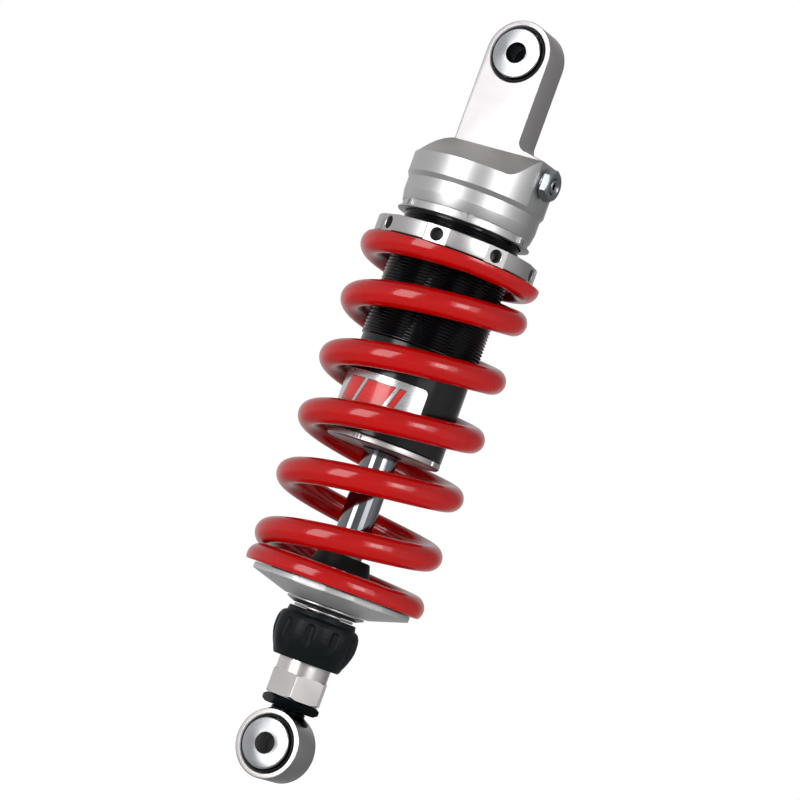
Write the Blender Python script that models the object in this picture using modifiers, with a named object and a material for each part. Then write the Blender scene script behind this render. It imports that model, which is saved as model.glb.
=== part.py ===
"""Rear shock absorber: a gas damper with a coil spring over it.

Metres. The origin is the centre of the upper eye, +Z runs up the damper axis,
both eye bolts lie along Y, and the gas valve is on +X. Heights (z) are worked
out from the upper eye downwards, so the eye-to-eye length is their sum.
"""
import math

import bmesh
import bpy
from mathutils import Matrix, Vector

MM = 0.001

# ---- driving dimensions -------------------------------------------------
STROKE = 55 * MM                # damper travel
TUBE_R = 26.7 * MM              # smooth part of the damper tube
TUBE_WALL = 3.7 * MM
THREAD_R = TUBE_R + 0.8 * MM    # crest of the preload thread
ROD_R = 8 * MM
WIRE_D = 12 * MM                # spring wire
BOLT_R = 5 * MM                 # mounting bolt hole
EYE_WIDTH = 17 * MM

# ---- fits ---------------------------------------------------------------
GAP = 0.3 * MM                  # between pieces that touch or slide
SWEEP = 2 * MM                  # how far a cutter runs past what it cuts

# ---- bearings in the eyes -----------------------------------------------
SPIGOT_R = BOLT_R + 2 * MM      # collar's spigot inside the ball
BALL_R = SPIGOT_R + 3 * MM
RACE_R = BALL_R + 3 * MM
EYE_R = RACE_R + 3 * MM         # outer radius of both eyes
COLLAR_R = RACE_R - 2 * MM
RACE_HALF = EYE_WIDTH / 2 - 4 * MM
BALL_HALF = EYE_WIDTH / 2 - 3.1 * MM
COLLAR_PROUD = 1.8 * MM
COLLAR_EDGE = 0.6 * MM
SEAL_RECESS = 0.4 * MM

# ---- upper mount cap ----------------------------------------------------
CAP_R = THREAD_R + 5.1 * MM
CAP_STEP = 1.1 * MM             # how much the band below the rim is smaller
CROWN_LEDGE = 0.1 * MM          # crown's ledge round the tang
CROWN_Z = -44.5 * MM            # where the tang leaves the crown
RIM_Z = CROWN_Z - 12.3 * MM     # where the crown meets the cylinder
STEP_Z = RIM_Z - 9.4 * MM
BAND_Z = STEP_Z - 2.2 * MM
WAIST_Z = BAND_Z - 6.0 * MM
FLANGE_Z = WAIST_Z - 4.9 * MM
LIP_Z = FLANGE_Z - 3.0 * MM
CAP_FOOT_Z = LIP_Z - 0.8 * MM
WAIST_DEPTH = 0.8 * MM
TANG_FILLET = 5.0 * MM
SHOULDER_Z = CROWN_Z + 2.3 * MM
SHOULDER_FALL = 2.5 * MM
ROOF_Z = CROWN_Z - 17.2 * MM    # roof of the gas room, above the tube

# ---- gas valve ----------------------------------------------------------
VALVE_Z = CROWN_Z - 8.5 * MM
VALVE_HEX = 13.2 * MM           # across the flats
VALVE_HEAD = 3.6 * MM
VALVE_SHANK_R = 4.5 * MM
VALVE_SHANK = 8.0 * MM
VALVE_DRILL_R = 2.5 * MM
CORE_R = 3.2 * MM
CORE_DEPTH = 2.4 * MM
CORE_PROUD = 0.6 * MM
WASHER_T = 0.8 * MM

# ---- damper tube, seal head ---------------------------------------------
THREAD_SPARE = 32.1 * MM          # thread below the nut's lowest place
GAS_CUSHION = 3.3 * MM          # gas left above the floating piston when shut
FLOAT_H = 12.0 * MM
OIL_ROOM = 3.8 * MM             # left between the two pistons when shut
NUT_H = 7.5 * MM
NUT_HEX = 13 * MM
SHIM_T = 1.4 * MM
SHIM_R = 14 * MM
PISTON_H = 12 * MM
BAND_H = 6 * MM
BAND_T = 1.2 * MM
SUPPORT_T = 1.1 * MM
BUMPER_H = 6 * MM
BUMPER_R = ROD_R + 4 * MM
HEAD_H = 12.4 * MM
DISC_H = 3.2 * MM
DISC_NOTCH_R = 2.2 * MM
BUSH_T = 1.2 * MM
SEAL_R = ROD_R + 4.5 * MM
SEAL_H = 4.0 * MM
WIPER_T = 1.0 * MM
RING_R = 0.85 * MM              # half thickness of the O-rings
WIRE_RING_R = 0.9 * MM
LABEL_T = 0.3 * MM
LABEL_H = 18 * MM
LABEL_FROM = -78                # degrees from -Y towards +X
LABEL_TO = 51
LABEL_ABOVE_DISC = 9.3 * MM

# ---- spring and preload -------------------------------------------------
PILOT_WALL = 1.8 * MM           # preload nut's pilot inside the spring
PILOT_PLAY = 0.4 * MM
SPRING_BORE_R = THREAD_R + GAP + PILOT_WALL + PILOT_PLAY
NUT_DROP = 6.2 * MM             # nut under the cap
ADJUSTER_H = 7.8 * MM
ADJUSTER_R = SPRING_BORE_R + 8 * MM
ADJUSTER_LAND = 11.0 * MM
LAND_DEPTH = 1.0 * MM
PIN_HOLE_R = 2.9 * MM
PIN_HOLE_DEPTH = 7 * MM
LANDS = 8
LAND_AT = 12.4                  # degrees from -Y towards +X
PILOT_H = 5.0 * MM
SLIP_T = 0.5 * MM
PRELOAD_TRAVEL = 12 * MM
LOW_TIP_AT = -54                # degrees from -Y towards +X
TOP_TIP_AT = 165
TURNS = 6 + (TOP_TIP_AT - LOW_TIP_AT) / 360  # from tip to tip
ACTIVE_PITCH = 28 * MM          # about; the free height sets it
FLAT_LOW = 0.346                # turns that lie flat on the seat
FLAT_TOP = 0.336
CLOSED = 0.19                   # turns at each end that then climb by one wire a turn
RAMP = 0.4                      # turns over which the coil opens
LIFT_LOW = 2.35 * MM            # wire centre above the ground end at its tip
LIFT_TOP = 0.55 * MM
COIL_PLAY = 0.2 * MM

# ---- lower seat and bump stop -------------------------------------------
SEAT_R = SPRING_BORE_R + 7.0 * MM
SEAT_RIM = 2.65 * MM
SEAT_CONE = 5.35 * MM
SEAT_HUB_R = ROD_R + 12 * MM
SEAT_WEB = 1.3 * MM             # web under the spring's plane
SEAT_PILOT_H = 4.0 * MM
SEAT_PILOT_T = 3.6 * MM
STOP_CRUSHED = 10.25 * MM
STOP_H = 16.8 * MM
STOP_TOP_R = ROD_R + 4.2 * MM
STOP_FOOT_R = ROD_R + 9.5 * MM
SEAT_COLLAR_R = ROD_R + 10.2 * MM
SEAT_COLLAR_H = 2.4 * MM
SEAT_RING_R = ROD_R + 5.9 * MM
SEAT_RING_H = 1.05 * MM

# ---- knob, fitting, lower eye -------------------------------------------
FITTING_R = ROD_R + 4 * MM
KNOB_H = 22.8 * MM
KNOB_R = FITTING_R + 7.5 * MM
KNOB_TOP_R = FITTING_R + 3.7 * MM
KNOB_FOOT_R = FITTING_R + 4.2 * MM
KNOB_STEP = 2.9 * MM
KNOB_GROOVE_R = FITTING_R + 4 * MM
KNOB_GROOVE_H = 4.0 * MM
KNOB_TRAVEL = 1.5 * MM
FITTING_SHOWN = 5.85 * MM
FITTING_HEX = 2 * FITTING_R
FITTING_HEX_H = 11.25 * MM
FITTING_CORNER = 23.5           # degrees from -Y towards +X
LOCK_HEX = FITTING_HEX - 0.8 * MM
LOCK_H = 4.4 * MM
LOCK_CORNER = -8
LOCK_TO_EYE = EYE_R + 1.4 * MM
STEM_R = ROD_R - 1 * MM
NECK_R = STEM_R + 0.9 * MM
STEM_IN = 22.5 * MM
ROD_IN = 15.0 * MM              # rod screwed into the fitting
TENON_R = ROD_R / 2
NEEDLE_BORE_R = 2.5 * MM
NEEDLE_R = 2.1 * MM
CROSS_PIN_R = 1.2 * MM
CROSS_PIN_DROP = 9.0 * MM       # under the knob's top

STEPS = 32                      # facets round the large turned pieces
FINE_STEPS = 20                 # facets round the small ones

# ---- heights worked out from the sizes above ----------------------------
TUBE_BORE_R = TUBE_R - TUBE_WALL
FLOAT_TRAVEL = STROKE * (ROD_R / TUBE_BORE_R) ** 2
FLOAT_TOP_Z = ROOF_Z - FLOAT_TRAVEL - GAS_CUSHION
PISTON_NUT_Z = FLOAT_TOP_Z - FLOAT_H - STROKE - OIL_ROOM
SHIMS_TOP_Z = PISTON_NUT_Z - NUT_H - GAP
PISTON_Z = SHIMS_TOP_Z - SHIM_T - GAP
SHIMS_LOW_Z = PISTON_Z - PISTON_H - GAP
SUPPORT_Z = SHIMS_LOW_Z - SHIM_T - GAP
ROD_TOP_Z = SUPPORT_Z - SUPPORT_T - GAP
HEAD_Z = ROD_TOP_Z - BUMPER_H - 3 * GAP
TUBE_FOOT_Z = HEAD_Z - HEAD_H
DISC_Z = TUBE_FOOT_Z - GAP
DISC_FOOT_Z = DISC_Z - DISC_H
ADJUSTER_Z = CAP_FOOT_Z - NUT_DROP
ADJUSTER_FOOT_Z = ADJUSTER_Z - ADJUSTER_H
SLIP_Z = ADJUSTER_FOOT_Z - GAP
SPRING_TOP_Z = SLIP_Z - SLIP_T - GAP
THREAD_FOOT_Z = ADJUSTER_FOOT_Z - PRELOAD_TRAVEL - THREAD_SPARE
SPRING_FOOT_Z = DISC_FOOT_Z - STROKE - STOP_CRUSHED
SEAT_Z = SPRING_FOOT_Z - GAP
WEB_Z = SEAT_Z - SEAT_WEB
STOP_FOOT_Z = WEB_Z + GAP
SEAT_FOOT_Z = SEAT_Z - SEAT_RIM - SEAT_CONE
COLLAR_Z = SEAT_FOOT_Z - GAP
RING_Z = COLLAR_Z - SEAT_COLLAR_H - GAP
KNOB_Z = RING_Z - SEAT_RING_H - GAP
KNOB_FOOT_Z = KNOB_Z - KNOB_H
HEX_Z = KNOB_FOOT_Z - FITTING_SHOWN
HEX_FOOT_Z = HEX_Z - FITTING_HEX_H
LOCK_Z = HEX_FOOT_Z - GAP
LOCK_FOOT_Z = LOCK_Z - LOCK_H
LOWER_EYE_Z = LOCK_FOOT_Z - LOCK_TO_EYE
STEM_TOP_Z = HEX_FOOT_Z + STEM_IN
ROD_FOOT_Z = KNOB_Z - ROD_IN
CROSS_PIN_Z = KNOB_Z - CROSS_PIN_DROP
SPRING_MEAN_R = SPRING_BORE_R + WIRE_D / 2

# ---- collections --------------------------------------------------------
for old in list(bpy.data.objects):
    bpy.data.objects.remove(old, do_unlink=True)

PARTS = bpy.data.collections.new("rear_shock_absorber")
CUTTERS = bpy.data.collections.new("cutters")
for collection in (PARTS, CUTTERS):
    bpy.context.scene.collection.children.link(collection)


def finish(name, colour, roughness, metallic):
    """Make a Principled material."""
    made = bpy.data.materials.new(name)
    made.use_nodes = True
    shader = made.node_tree.nodes["Principled BSDF"]
    shader.inputs["Base Color"].default_value = (*colour, 1.0)
    shader.inputs["Roughness"].default_value = roughness
    shader.inputs["Metallic"].default_value = metallic
    return made


SATIN = finish("satin_aluminium", (0.62, 0.62, 0.64), 0.32, 1.0)
TURNED = finish("turned_aluminium", (0.75, 0.76, 0.78), 0.22, 1.0)
BLACK = finish("black_anodised", (0.012, 0.012, 0.014), 0.35, 0.6)
CHROME = finish("hard_chrome", (0.72, 0.72, 0.74), 0.08, 1.0)
STEEL = finish("plain_steel", (0.45, 0.45, 0.46), 0.3, 1.0)
RED = finish("red_powder_coat", (0.62, 0.01, 0.012), 0.2, 0.0)
RUBBER = finish("black_rubber", (0.01, 0.012, 0.013), 0.6, 0.0)
LABEL = finish("silver_label", (0.6, 0.6, 0.62), 0.3, 0.8)
BRONZE = finish("bearing_bronze", (0.5, 0.32, 0.12), 0.35, 1.0)


def group(name, height, parent=None):
    """Make an empty on the damper axis that carries one moving body."""
    empty = bpy.data.objects.new(name, None)
    empty.empty_display_size = 0.02
    PARTS.objects.link(empty)
    empty["height"] = height
    if parent is not None:
        empty.parent = parent
        empty.location.z = height - parent["height"]
    else:
        empty.location.z = height
    return empty


def place(obj, carrier, height, material):
    """Put a piece on its carrier at a height, with its material."""
    PARTS.objects.link(obj)
    obj.parent = carrier
    obj.location.z = height - carrier["height"]
    obj.data.materials.clear()
    obj.data.materials.append(material)
    return obj


def outline_object(name, outline, closed):
    """Make an object whose mesh is an outline of (radius, height) points."""
    mesh = bpy.data.meshes.new(name)
    count = len(outline)
    edges = [(i, i + 1) for i in range(count - 1)]
    if closed:
        edges.append((count - 1, 0))
    mesh.from_pydata([(r, 0, z) for r, z in outline], edges, [])
    return bpy.data.objects.new(name, mesh)


def add_screw(obj, steps, angle=2 * math.pi):
    """Turn an object's outline round Z."""
    screw = obj.modifiers.new("turn", "SCREW")
    screw.axis = "Z"
    screw.angle = angle
    screw.steps = steps
    screw.render_steps = steps
    screw.use_merge_vertices = angle >= 2 * math.pi
    screw.merge_threshold = 0.00001
    screw.use_smooth_shade = True


def turned(name, carrier, height, outline, material, steps=STEPS, solid=False):
    """Turn an outline that runs down its outer side; solid ones end on the axis."""
    obj = outline_object(name, outline, not solid)
    add_screw(obj, steps)
    return place(obj, carrier, height, material)


def tube_outline(inner, outer, top, foot, edge=0.0):
    """Outline of a plain ring, with its outer edges chamfered if asked."""
    if edge == 0.0:
        return [(outer, top), (outer, foot), (inner, foot), (inner, top)]
    return [(outer - edge, top), (outer, top - edge), (outer, foot + edge),
            (outer - edge, foot), (inner, foot), (inner, top)]


def round_ring_outline(centre, radius, sides=6):
    """Outline of an O-ring's round section."""
    angles = [math.pi / 2 - 2 * math.pi * i / sides for i in range(sides)]
    return [(centre + radius * math.cos(a), radius * math.sin(a)) for a in angles]


def as_cutter(obj):
    """Mark an object as a guide that other pieces are cut with."""
    CUTTERS.objects.link(obj)
    obj.hide_render = True
    obj.display_type = "WIRE"
    return obj


def turned_cutter(name, outline, steps=STEPS):
    """A solid turned cutter on the damper axis, in world heights."""
    obj = outline_object(name, outline, False)
    add_screw(obj, steps)
    return as_cutter(obj)


def rod_cutter(name, radius, start, end, sides=FINE_STEPS):
    """A round cutter from one point to another."""
    start, end = Vector(start), Vector(end)
    mesh = bpy.data.meshes.new(name)
    shape = bmesh.new()
    bmesh.ops.create_cone(shape, cap_ends=True, segments=sides, radius1=radius,
                          radius2=radius, depth=(end - start).length)
    shape.to_mesh(mesh)
    shape.free()
    obj = bpy.data.objects.new(name, mesh)
    obj.location = (start + end) / 2
    obj.rotation_mode = "QUATERNION"
    obj.rotation_quaternion = (end - start).to_track_quat("Z", "Y")
    return as_cutter(obj)


def box_shape(shape, centre, size, turn=0.0):
    """Add a box to a bmesh, turned about the damper axis."""
    place_at = Matrix.Rotation(turn, 4, "Z") @ Matrix.Translation(centre)
    bmesh.ops.create_cube(shape, size=1.0, matrix=place_at @ Matrix.Diagonal((*size, 1.0)))


def mesh_cutter(name, shape):
    """Make a cutter from a filled bmesh."""
    mesh = bpy.data.meshes.new(name)
    shape.to_mesh(mesh)
    shape.free()
    return as_cutter(bpy.data.objects.new(name, mesh))


def combine(obj, other, operation):
    """Cut or join a piece with another shape."""
    boolean = obj.modifiers.new(operation.lower(), "BOOLEAN")
    boolean.operation = operation
    boolean.object = other
    boolean.solver = "EXACT"


def compass(degrees):
    """Angle about Z of a bearing counted from -Y towards +X."""
    return math.radians(degrees - 90)


def hexagon(shape, across, height, centre_z, corner):
    """Add a hexagonal prism on the damper axis, one corner at a bearing."""
    radius = across / math.sqrt(3)
    turn = Matrix.Rotation(compass(corner), 4, "Z")
    at = Matrix.Translation((0, 0, centre_z)) @ turn @ Matrix.Rotation(math.pi / 2, 4, "Z")
    bmesh.ops.create_cone(shape, cap_ends=True, segments=6, radius1=radius,
                          radius2=radius, depth=height, matrix=at)


def curve_to_mesh(curve_object):
    """Turn a curve object into a welded mesh object in the same place."""
    bpy.context.view_layer.update()
    evaluated = curve_object.evaluated_get(bpy.context.evaluated_depsgraph_get())
    mesh = bpy.data.meshes.new_from_object(evaluated)
    shape = bmesh.new()
    shape.from_mesh(mesh)
    bmesh.ops.remove_doubles(shape, verts=shape.verts, dist=0.00001)
    shape.to_mesh(mesh)
    shape.free()
    obj = bpy.data.objects.new(curve_object.name + "_mesh", mesh)
    obj.matrix_world = curve_object.matrix_world
    bpy.data.objects.remove(curve_object, do_unlink=True)
    return obj


# ---- one eye's bearing ---------------------------------------------------
def eye_bearing(prefix, fixed, moving, height):
    """Race and two seals on the eye; ball and two collars on the bush."""
    half = EYE_WIDTH / 2

    def along_y(obj):
        obj.rotation_euler.x = math.pi / 2
        return obj

    arc = [math.asin(RACE_HALF / (BALL_R + GAP)) * t for t in (-1, -0.5, 0, 0.5, 1)]
    hollow = [((BALL_R + GAP) * math.cos(a), (BALL_R + GAP) * math.sin(a)) for a in arc]
    race = [(RACE_R, RACE_HALF), (RACE_R, -RACE_HALF)] + hollow
    along_y(turned(prefix + "_bearing_race", fixed, height, race, STEEL, FINE_STEPS))

    arc = [math.asin(BALL_HALF / BALL_R) * t for t in (1, 0.6, 0.2, -0.2, -0.6, -1)]
    ball = [(BALL_R * math.cos(a), BALL_R * math.sin(a)) for a in arc]
    ball += [(SPIGOT_R + GAP, -BALL_HALF), (SPIGOT_R + GAP, BALL_HALF)]
    along_y(turned(prefix + "_bearing_ball", moving, height, ball, CHROME, FINE_STEPS))

    face = half + COLLAR_PROUD
    under = BALL_HALF + GAP
    collar = [(COLLAR_R - COLLAR_EDGE, face), (COLLAR_R, face - COLLAR_EDGE),
              (COLLAR_R, under), (SPIGOT_R, under), (SPIGOT_R, GAP / 2),
              (BOLT_R, GAP / 2), (BOLT_R, face)]
    seal = tube_outline(COLLAR_R + GAP, RACE_R, half - SEAL_RECESS, RACE_HALF + GAP)
    for side, sign in (("front", 1), ("rear", -1)):
        for kind, outline, carrier, skin in (("collar", collar, moving, TURNED),
                                             ("seal", seal, fixed, RUBBER)):
            flipped = [(r, sign * z) for r, z in outline]
            if sign < 0:
                flipped.reverse()
            name = "_".join((prefix, kind, side))
            along_y(turned(name, carrier, height, flipped, skin, FINE_STEPS))


# ---- upper mount cap -----------------------------------------------------
def crown_rim(angle):
    """Height where the crown's slope meets the cylinder, at an angle about Z."""
    bearing = abs(math.degrees(angle))
    rise = min(1.0, max(0.0, (44 - bearing) / 30))
    blend = rise * rise * (3 - 2 * rise)
    return RIM_Z + (CROWN_Z - GAP - RIM_Z) * blend


def crown_edge(angle, left, right, half):
    """Point of the tang's rectangular foot in a direction from the axis."""
    x, y = math.cos(angle), math.sin(angle)
    reach = min((right if x > 0 else left) / max(abs(x), 1e-9), half / max(abs(y), 1e-9))
    return reach * x, reach * y


def cap_body(carrier):
    """Round body: turned bands, and a crown that slopes up to the tang."""
    half = EYE_WIDTH / 2 + CROWN_LEDGE
    left = EYE_R + CROWN_LEDGE
    flat_x = math.sqrt(CAP_R ** 2 - half ** 2)
    band_r = CAP_R - CAP_STEP
    bands = [(band_r - 0.3 * MM, CAP_FOOT_Z),
             (band_r, CAP_FOOT_Z + 0.3 * MM),
             (band_r, LIP_Z),
             (band_r - WAIST_DEPTH, LIP_Z),
             (band_r - WAIST_DEPTH, FLANGE_Z),
             (band_r, WAIST_Z),
             (band_r, BAND_Z),
             (CAP_R, STEP_Z)]
    corners = [math.atan2(sy * half, x) for sy in (-1, 1) for x in (-left, flat_x)]
    even = [-math.pi + 2 * math.pi * i / STEPS for i in range(STEPS)]
    angles = sorted(corners + [a for a in even if min(abs(a - c) for c in corners) > 0.03])
    rings = [[(r * math.cos(a), r * math.sin(a), z) for a in angles] for r, z in bands]
    rings.append([(CAP_R * math.cos(a), CAP_R * math.sin(a), crown_rim(a)) for a in angles])
    rings.append([(*crown_edge(a, left, flat_x, half), CROWN_Z) for a in angles])

    shape = bmesh.new()
    loops = [[shape.verts.new(point) for point in ring] for ring in rings]
    count = len(angles)
    for low, high in zip(loops, loops[1:]):
        for i in range(count):
            j = (i + 1) % count
            shape.faces.new((low[i], low[j], high[j], high[i]))
    shape.faces.new(list(reversed(loops[0])))
    shape.faces.new(loops[-1])
    mesh = bpy.data.meshes.new("upper_mount_cap")
    shape.to_mesh(mesh)
    shape.free()
    obj = bpy.data.objects.new("upper_mount_cap", mesh)
    return place(obj, carrier, 0.0, SATIN), flat_x


def tang(flat_x):
    """Flat tang with a round eye end, a fillet and the valve's shoulder."""
    fillet_x = EYE_R + TANG_FILLET
    fillet_z = SHOULDER_Z + TANG_FILLET
    points = []
    for i in range(17):
        a = math.pi * (1 - i / 16)
        points.append((EYE_R * math.cos(a), EYE_R * math.sin(a)))
    for i in range(6):
        a = math.pi + math.pi / 2 * i / 5
        points.append((fillet_x + TANG_FILLET * math.cos(a), fillet_z + TANG_FILLET * math.sin(a)))
    points.append((flat_x - CROWN_LEDGE, SHOULDER_Z - SHOULDER_FALL))
    root = RIM_Z - 2 * MM
    points += [(flat_x - 1 * MM, root), (-EYE_R + 1 * MM, root), (-EYE_R, CROWN_Z - 1 * MM)]
    data = bpy.data.curves.new("tang", "CURVE")
    data.dimensions = "2D"
    data.fill_mode = "BOTH"
    data.extrude = EYE_WIDTH / 2
    spline = data.splines.new("POLY")
    spline.points.add(len(points) - 1)
    for knot, (x, z) in zip(spline.points, points):
        knot.co = (x, z, 0, 1)
    spline.use_cyclic_u = True
    outline = bpy.data.objects.new("tang", data)
    outline.rotation_euler.x = math.pi / 2
    CUTTERS.objects.link(outline)
    return as_cutter(curve_to_mesh(outline))


def upper_mount_cap(carrier):
    """The cap with its tang, eye, tube bore and gas drillings."""
    cap, flat_x = cap_body(carrier)
    combine(cap, tang(flat_x), "UNION")
    flat = bmesh.new()
    box_shape(flat, (flat_x + 4 * MM, 0, (CROWN_Z + CAP_FOOT_Z) / 2),
              (8 * MM, 2 * RACE_R, CROWN_Z - CAP_FOOT_Z + 20 * MM))
    reach = EYE_WIDTH / 2 + SWEEP
    bore_r = THREAD_R + GAP
    bore = [(0, ROOF_Z), (bore_r, ROOF_Z), (bore_r, CAP_FOOT_Z - SWEEP), (0, CAP_FOOT_Z - SWEEP)]
    drill_x = TUBE_BORE_R / 2
    for cutter in (
            mesh_cutter("valve_flat", flat),
            rod_cutter("eye_bore", RACE_R + GAP, (0, -reach, 0), (0, reach, 0), STEPS),
            turned_cutter("tube_bore", bore),
            rod_cutter("valve_bore", VALVE_SHANK_R + GAP,
                       (flat_x - VALVE_SHANK - 2 * GAP, 0, VALVE_Z),
                       (flat_x + SWEEP, 0, VALVE_Z)),
            rod_cutter("gas_drill", VALVE_DRILL_R, (drill_x - VALVE_DRILL_R, 0, VALVE_Z),
                       (flat_x, 0, VALVE_Z), 12),
            rod_cutter("gas_feed", VALVE_DRILL_R - GAP, (drill_x, 0, VALVE_Z),
                       (drill_x, 0, ROOF_Z - SWEEP), 12)):
        combine(cap, cutter, "DIFFERENCE")
    return flat_x


def gas_valve(carrier, flat_x):
    """Hexagonal plug on the cap's flat, with its washer and core."""
    seat_x = flat_x + GAP
    head_x = seat_x + WASHER_T + GAP

    def along_x(obj, x):
        obj.rotation_euler.y = math.pi / 2
        obj.location.x = x
        return obj

    washer = tube_outline(VALVE_SHANK_R + GAP, VALVE_HEX / 2, WASHER_T, 0, 0.3 * MM)
    along_x(turned("gas_valve_washer", carrier, VALVE_Z, washer, STEEL, FINE_STEPS), seat_x)
    shank = [(0, VALVE_HEAD), (VALVE_SHANK_R, VALVE_HEAD),
             (VALVE_SHANK_R, flat_x - VALVE_SHANK - head_x), (0, flat_x - VALVE_SHANK - head_x)]
    plug = turned("gas_valve_plug", carrier, VALVE_Z, shank, STEEL, FINE_STEPS, solid=True)
    along_x(plug, head_x)
    head = bmesh.new()
    bmesh.ops.create_cone(head, cap_ends=True, segments=6, radius1=VALVE_HEX / math.sqrt(3),
                          radius2=VALVE_HEX / math.sqrt(3), depth=VALVE_HEAD,
                          matrix=Matrix.Translation((head_x + VALVE_HEAD / 2, 0, VALVE_Z))
                          @ Matrix.Rotation(math.pi / 2, 4, "Y"))
    combine(plug, mesh_cutter("valve_head", head), "UNION")
    tip_x = head_x + VALVE_HEAD
    pocket = rod_cutter("core_pocket", CORE_R + GAP, (tip_x - CORE_DEPTH - GAP, 0, VALVE_Z),
                        (tip_x + SWEEP, 0, VALVE_Z))
    feed = rod_cutter("plug_feed", VALVE_DRILL_R / 2, (0, 0, VALVE_Z), (tip_x, 0, VALVE_Z), 12)
    combine(plug, pocket, "DIFFERENCE")
    combine(plug, feed, "DIFFERENCE")
    core = [(0, CORE_DEPTH + CORE_PROUD), (CORE_R, CORE_DEPTH + CORE_PROUD), (CORE_R, 0), (0, 0)]
    along_x(turned("gas_valve_core", carrier, VALVE_Z, core, BRONZE, FINE_STEPS, solid=True),
            tip_x - CORE_DEPTH)


# ---- damper tube and its closure ----------------------------------------
def damper_tube(carrier):
    """Threaded tube with the groove of the ring that holds the seal head."""
    top = ROOF_Z - GAP
    thread_end = THREAD_FOOT_Z
    groove = WIRE_RING_R + GAP
    ring_z = TUBE_FOOT_Z + groove + 0.6 * MM
    outline = [(THREAD_R, top), (THREAD_R, thread_end), (TUBE_R, thread_end - (THREAD_R - TUBE_R)),
               (TUBE_R, TUBE_FOOT_Z), (TUBE_BORE_R, TUBE_FOOT_Z), (TUBE_BORE_R, ring_z - groove),
               (TUBE_BORE_R + groove, ring_z - groove), (TUBE_BORE_R + groove, ring_z + groove),
               (TUBE_BORE_R, ring_z + groove), (TUBE_BORE_R, top)]
    turned("damper_tube", carrier, 0.0, outline, BLACK)
    ring = round_ring_outline(TUBE_BORE_R - 0.2 * MM, WIRE_RING_R)
    turned("seal_head_wire_ring", carrier, ring_z, ring, STEEL, STEPS)
    return ring_z


def seal_head(carrier, ring_z):
    """Seal head with its bush, oil seal, O-ring, wiper and end disc."""
    outer = TUBE_BORE_R - GAP
    top = HEAD_Z - TUBE_FOOT_Z
    seal_top = SEAL_H + GAP
    bush_r = ROD_R + GAP + BUSH_T + GAP
    step_r = TUBE_BORE_R - 0.2 * MM - WIRE_RING_R - GAP
    step_z = ring_z - TUBE_FOOT_Z + WIRE_RING_R + GAP
    groove_z = (step_z + top) / 2
    groove = RING_R + GAP
    lip_r = ROD_R + 2 * GAP
    outline = [(outer, top), (outer, groove_z + groove), (outer - 2 * groove, groove_z + groove),
               (outer - 2 * groove, groove_z - groove), (outer, groove_z - groove),
               (outer, step_z), (step_r, step_z), (step_r, 0), (SEAL_R + GAP, 0),
               (SEAL_R + GAP, seal_top), (lip_r, seal_top), (lip_r, seal_top + 1 * MM),
               (bush_r, seal_top + 1 * MM), (bush_r, top)]
    turned("seal_head", carrier, TUBE_FOOT_Z, outline, SATIN)
    turned("seal_head_o_ring", carrier, TUBE_FOOT_Z + groove_z,
           round_ring_outline(outer - RING_R - GAP / 2, RING_R), RUBBER)
    turned("rod_bush", carrier, TUBE_FOOT_Z,
           tube_outline(ROD_R + GAP, bush_r - GAP, top, seal_top + 1 * MM + GAP),
           BRONZE, FINE_STEPS)
    turned("rod_oil_seal", carrier, TUBE_FOOT_Z,
           tube_outline(ROD_R + GAP, SEAL_R, SEAL_H, GAP), RUBBER, FINE_STEPS)
    wiper_r = ROD_R + GAP + WIPER_T
    disc_edge = 0.4 * MM
    turned("tube_end_disc", carrier, DISC_Z,
           tube_outline(wiper_r + GAP, TUBE_R, 0, -DISC_H, disc_edge), SATIN)
    notches = bmesh.new()
    for k in range(4):
        turn = Matrix.Rotation(compass(90 * k), 4, "Z")
        at = turn @ Matrix.Translation((TUBE_R, 0, DISC_FOOT_Z))
        bmesh.ops.create_cone(notches, cap_ends=True, segments=12, radius1=DISC_NOTCH_R,
                              radius2=DISC_NOTCH_R, depth=DISC_H, matrix=at)
    combine(PARTS.objects["tube_end_disc"], mesh_cutter("disc_notches", notches), "DIFFERENCE")
    turned("rod_wiper", carrier, DISC_Z,
           tube_outline(ROD_R + GAP, wiper_r, 0, -DISC_H - 0.5 * MM, 0.2 * MM), RUBBER, FINE_STEPS)


def body_label(carrier):
    """Thin label wrapped part of the way round the tube."""
    foot = TUBE_FOOT_Z + LABEL_ABOVE_DISC
    obj = outline_object("body_label", [(TUBE_R + GAP, LABEL_H), (TUBE_R + GAP, 0)], False)
    add_screw(obj, 14, math.radians(LABEL_TO - LABEL_FROM))
    wall = obj.modifiers.new("thickness", "SOLIDIFY")
    wall.thickness = LABEL_T
    wall.offset = 1.0
    place(obj, carrier, foot, LABEL)
    obj.rotation_euler.z = compass(LABEL_FROM)


# ---- inside the tube -----------------------------------------------------
def floating_piston(carrier):
    """Cup that parts the gas from the oil, with its O-ring."""
    outer = TUBE_BORE_R - GAP
    wall = 4 * MM
    groove = RING_R + GAP
    mid = -FLOAT_H / 2
    outline = [(0, -wall), (outer - wall, -wall), (outer - wall, 0), (outer, 0),
               (outer, mid + groove), (outer - 2 * groove, mid + groove),
               (outer - 2 * groove, mid - groove), (outer, mid - groove),
               (outer, -FLOAT_H), (0, -FLOAT_H)]
    turned("floating_piston", carrier, FLOAT_TOP_Z, outline, SATIN, solid=True)
    turned("floating_piston_o_ring", carrier, FLOAT_TOP_Z + mid,
           round_ring_outline(outer - RING_R - GAP / 2, RING_R), RUBBER)


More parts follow.
